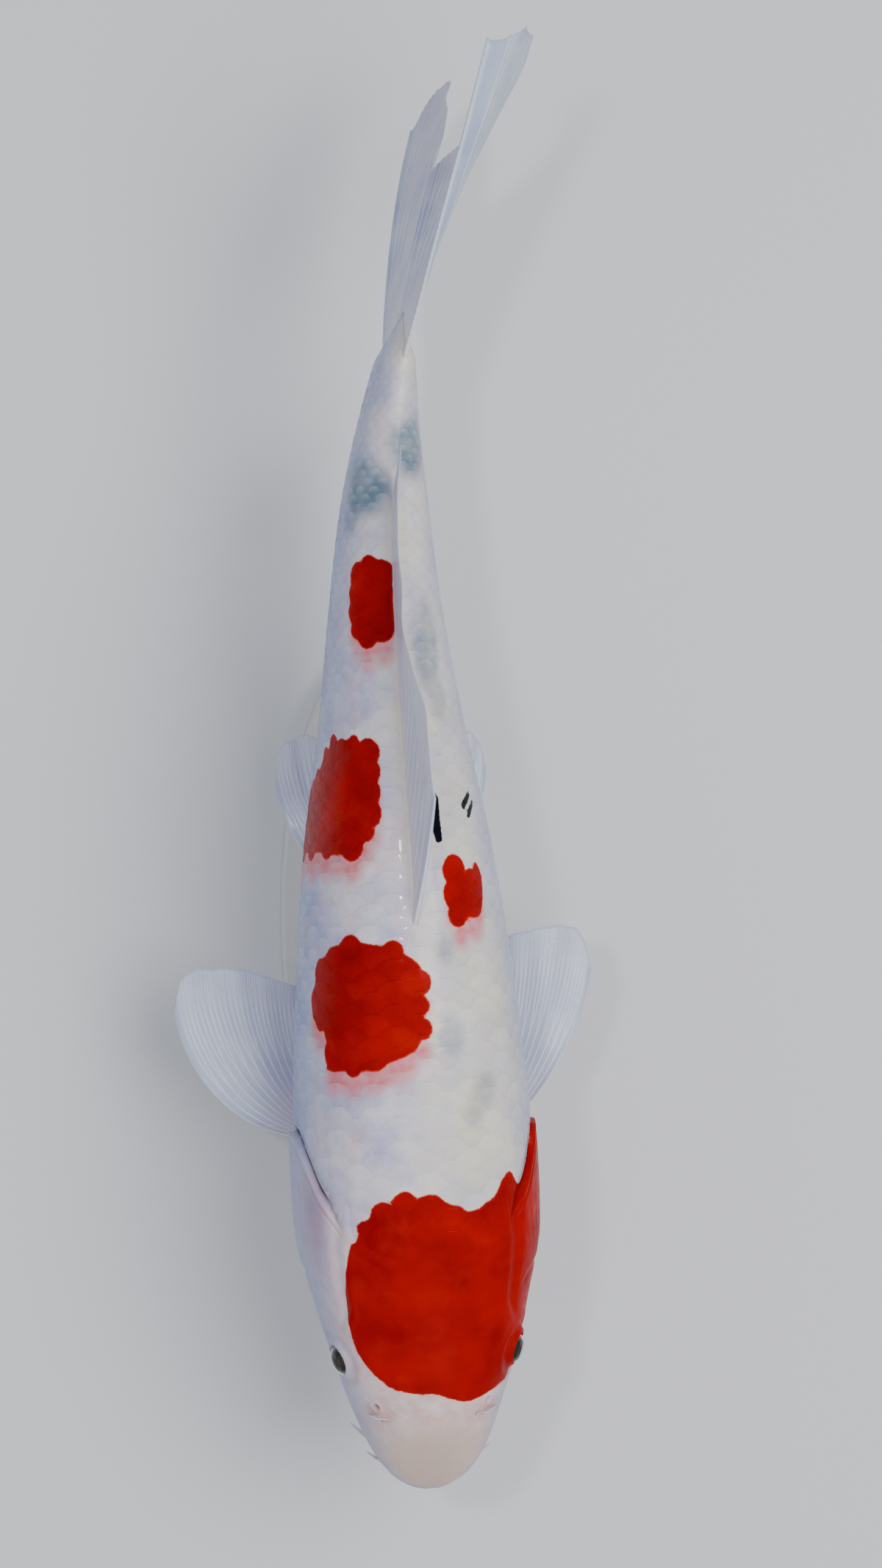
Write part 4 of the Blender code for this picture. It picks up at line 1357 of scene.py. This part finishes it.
# the feelers, and the upright fold of skin between a nostril's two openings
barbels = {
    "Upper": {"s": 12 * mm, "angle": 88, "length": 8 * mm, "radius": 0.8 * mm, "aim": (0.8, 0.15, -0.6)},
    "Corner": {"s": 19 * mm, "angle": 112, "length": 15 * mm, "radius": 1.1 * mm, "aim": (0.55, 0.1, -0.8)},
}
barbelForm = {
    "joints": 22, "sides": 16,
    "sink": 1.6 * mm,
    "droop": (0.2, 0, -0.25),  # in lengths
    "wave": 0.25 * mm,
    "taper": 0.62,
    "rootSwell": 0.7 * mm,
}
flapForm = {
    "rows": 12, "cols": 16,
    "s": (31.4 * mm, 2.4 * mm, 0.8 * mm),  # where it starts, how far it slants back and how far it bows
    "angle": (30, 50),
    "height": (1.2 * mm, 3.0 * mm),
    "leans": 1.6 * mm,
    "wave": 0.25 * mm,
    "thick": (0.42 * mm, 0.22 * mm),  # half thickness at its root and at its edge
}


def barbelMaterial():
    made, tree, shader = newMaterial("barbelSkin", {
        "Subsurface Weight": 0.2, "Subsurface Scale": 2 * mm, "Coat Weight": 0.4, "Coat Roughness": 0.12,
    })
    connect(tree, shader, {
        "Base Color": layered(
            tree, "snout", (mask(tree, "tip"), "barbelTip"), (mottled(tree, "barbelPink"), "lips"),
        ),
        "Roughness": mottled(tree, "barbelGloss"),
        "Normal": bumped(tree, pebbled(tree, 1500.0, 1.0), 0.25),
    })
    return made


barbelLook = barbelMaterial()


def buildBarbel(kind, side, sign):
    spec, joints, sides = barbels[kind], barbelForm["joints"], barbelForm["sides"]
    place = straightPlace(spec["s"], sign * math.radians(spec["angle"]))
    root = Vector(place) - Vector((0, sign, 0)) * barbelForm["sink"]
    out, back, down = spec["aim"]
    aim = Vector((back, sign * out, down)).normalized()
    across = aim.cross(Vector((1, 0, 0))).normalized()
    other = aim.cross(across)
    droop = Vector(barbelForm["droop"])
    rings, tips = [], []
    for joint in range(joints):
        share = joint / (joints - 0.6)
        middle = root + (aim * share + droop * share**2) * spec["length"]
        middle += across * barbelForm["wave"] * math.sin(share * 5)
        # swollen at the root, tapering to a rounded tip
        radius = spec["radius"] * (1 - barbelForm["taper"] * share) * math.sqrt(max(1 - share**8, 0.02))
        radius += barbelForm["rootSwell"] * float(bump(share, 0, 0.14))
        spokes = [across * math.cos(t) + other * math.sin(t) for t in aroundOnce(sides)]
        rings.append([middle + spoke * radius for spoke in spokes])
        tips += [share] * sides
    end = root + (aim + droop) * spec["length"]
    points = np.concatenate([[root], np.array(rings).reshape(-1, 3), [end]])
    name = "barbel" + kind + side
    makePiece(name, bend(points), *tubeFaces(joints, sides, True, wholeTile), barbelLook,
              {"tip": [0, *tips, 1]}, "white_skin", (cadName(name),))


def buildFlap(side, sign):
    share, along = np.meshgrid(np.linspace(0, 1, flapForm["cols"]), np.linspace(-0.35, 1, flapForm["rows"]))
    free = np.clip(along, 0, 1)
    start, slant, bow = flapForm["s"]
    s = start + slant * share + bow * np.sin(share * math.pi)
    angle = sign * np.radians(between(flapForm["angle"], share))
    low, more = flapForm["height"]
    tall = low + more * np.sin(math.pi * np.clip(share, 0.04, 0.96)) ** 0.7
    middle = onBody(s, angle) + outward(s, angle) * (tall * along)[..., None]
    middle[..., 1] += flapForm["leans"] * free**1.5 + flapForm["wave"] * np.sin(share * 13) * free
    half = between(flapForm["thick"], free) * (0.35 + 0.65 * np.sin(math.pi * np.clip(share, 0.05, 0.95)))
    name = "nostrilFlap" + side
    makePiece(name, *plate(middle, half, facing(middle)), barbelLook,
              {"tip": bothSides(free, free)}, "white_skin", (cadName(name),))


for side, sign in (("Left", 1), ("Right", -1)):
    for kind in barbels:
        buildBarbel(kind, side, sign)
    buildFlap(side, sign)
print("feelers made")


def plinthMaterial():
    made, tree, shader = newMaterial("plinthLacquer", {"Coat Weight": 0.15, "Coat Roughness": 0.4})
    connect(tree, shader, {
        "Base Color": layered(
            tree, "plinthDark", (mottled(tree, "plinth"), "plinthPale"), (mottled(tree, "speck"), "speck"),
        ),
        "Roughness": mottled(tree, "plinthGloss"),
        "Normal": bumped(tree, pebbled(tree, 1300.0, 1.0), 0.2, 0.2 * mm),
    })
    return made


def rodMaterial():
    made, tree, shader = newMaterial("brushedRod", {"Metallic": 1.0})
    long = addNode(tree, "ShaderNodeMapping", {"Vector": placeOn(tree), "Scale": (900.0, 900.0, 12.0)})
    brushed = addNode(tree, "ShaderNodeTexNoise", {
        "Vector": long.outputs["Vector"], "Scale": 1.0, "Detail": 4.0,
    }).outputs["Fac"]
    connect(tree, shader, {
        "Base Color": layered(tree, "rodDark", (brushed, "rodPale")),
        "Roughness": ramped(tree, brushed, 0.3, 0.7, 0.24, 0.4),
        "Normal": bumped(tree, brushed, 0.2, 0.1 * mm),
    })
    return made


def dress(look, *nodes):
    # the stand keeps its own shape
    for node in nodes:
        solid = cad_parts[node]
        solid.data.materials.clear()
        solid.data.materials.append(look)


dress(plinthMaterial(), "stand_base")
dress(rodMaterial(), "stand_rod_front", "stand_rod_rear")
print("stand dressed")


studio = {
    "floorSize": 30.0,
    "world": (0.86, 0.9, 1.0, 1),
    "worldPower": 0.38,
    # name, power in watts, size in metres, place, colour
    "lights": (
        ("softKey", 38, 1.5, (0.8, 0.15, 2.05), (1.0, 0.97, 0.93)),
        ("coolFill", 6, 2.6, (-1.5, -0.3, 1.5), (0.86, 0.91, 1.0)),
        ("snoutLight", 4, 0.9, (0.2, -1.6, 1.1), (1.0, 0.96, 0.92)),
        ("glints", 7, 0.16, (-0.5, 0.3, 1.9), (1.0, 1.0, 1.0)),
    ),
    "aimedAt": (0, 0, 0.1),
}
view = {
    "lens": 87.7, "sensor": 36.0,
    "tilt": math.radians(5.5), "roll": math.radians(3.2),
    "place": (-0.1247, 0.0706, 1.5979),
}


def buildFloor():
    mesh = bpy.data.meshes.new("studioFloor")
    half = studio["floorSize"] / 2
    points = [(x * half, y * half, 0) for x, y in ((-1, -1), (1, -1), (1, 1), (-1, 1))]
    mesh.from_pydata(points, [], [(0, 1, 2, 3)])
    mesh.materials.append(newMaterial("studioFloor", {"Roughness": 0.7, "Base Color": colours["floor"]})[0])
    addToScene("studioFloor", mesh)


def buildLights():
    world = bpy.data.worlds.new("studio")
    world.use_nodes = True
    connect(world.node_tree, world.node_tree.nodes["Background"], {
        "Color": studio["world"], "Strength": studio["worldPower"],
    })
    bpy.context.scene.world = world
    for name, power, size, place, colour in studio["lights"]:
        lamp = bpy.data.lights.new(name, "AREA")
        lamp.energy, lamp.shape, lamp.size, lamp.color = power, "DISK", size, colour
        held = addToScene(name, lamp)
        held.location = place
        held.rotation_mode = "QUATERNION"
        held.rotation_quaternion = (Vector(studio["aimedAt"]) - Vector(place)).to_track_quat("-Z", "Y")


def buildCamera():
    lens = bpy.data.cameras.new("studioCamera")
    lens.lens, lens.sensor_width, lens.clip_start, lens.clip_end = view["lens"], view["sensor"], 0.01, 50
    camera = addToScene("studioCamera", lens)
    tilt, roll = view["tilt"], view["roll"]
    forward = Vector((math.sin(tilt), 0, -math.cos(tilt)))
    level, upright = Vector((math.cos(tilt), 0, math.sin(tilt))), Vector((0, 1, 0))
    right = level * math.cos(roll) - upright * math.sin(roll)
    up = level * math.sin(roll) + upright * math.cos(roll)
    turned = Matrix((right, up, -forward)).transposed().to_4x4()
    camera.matrix_world = Matrix.Translation(view["place"]) @ turned
    bpy.context.scene.camera = camera


buildFloor()
buildLights()
buildCamera()
print("studio made")
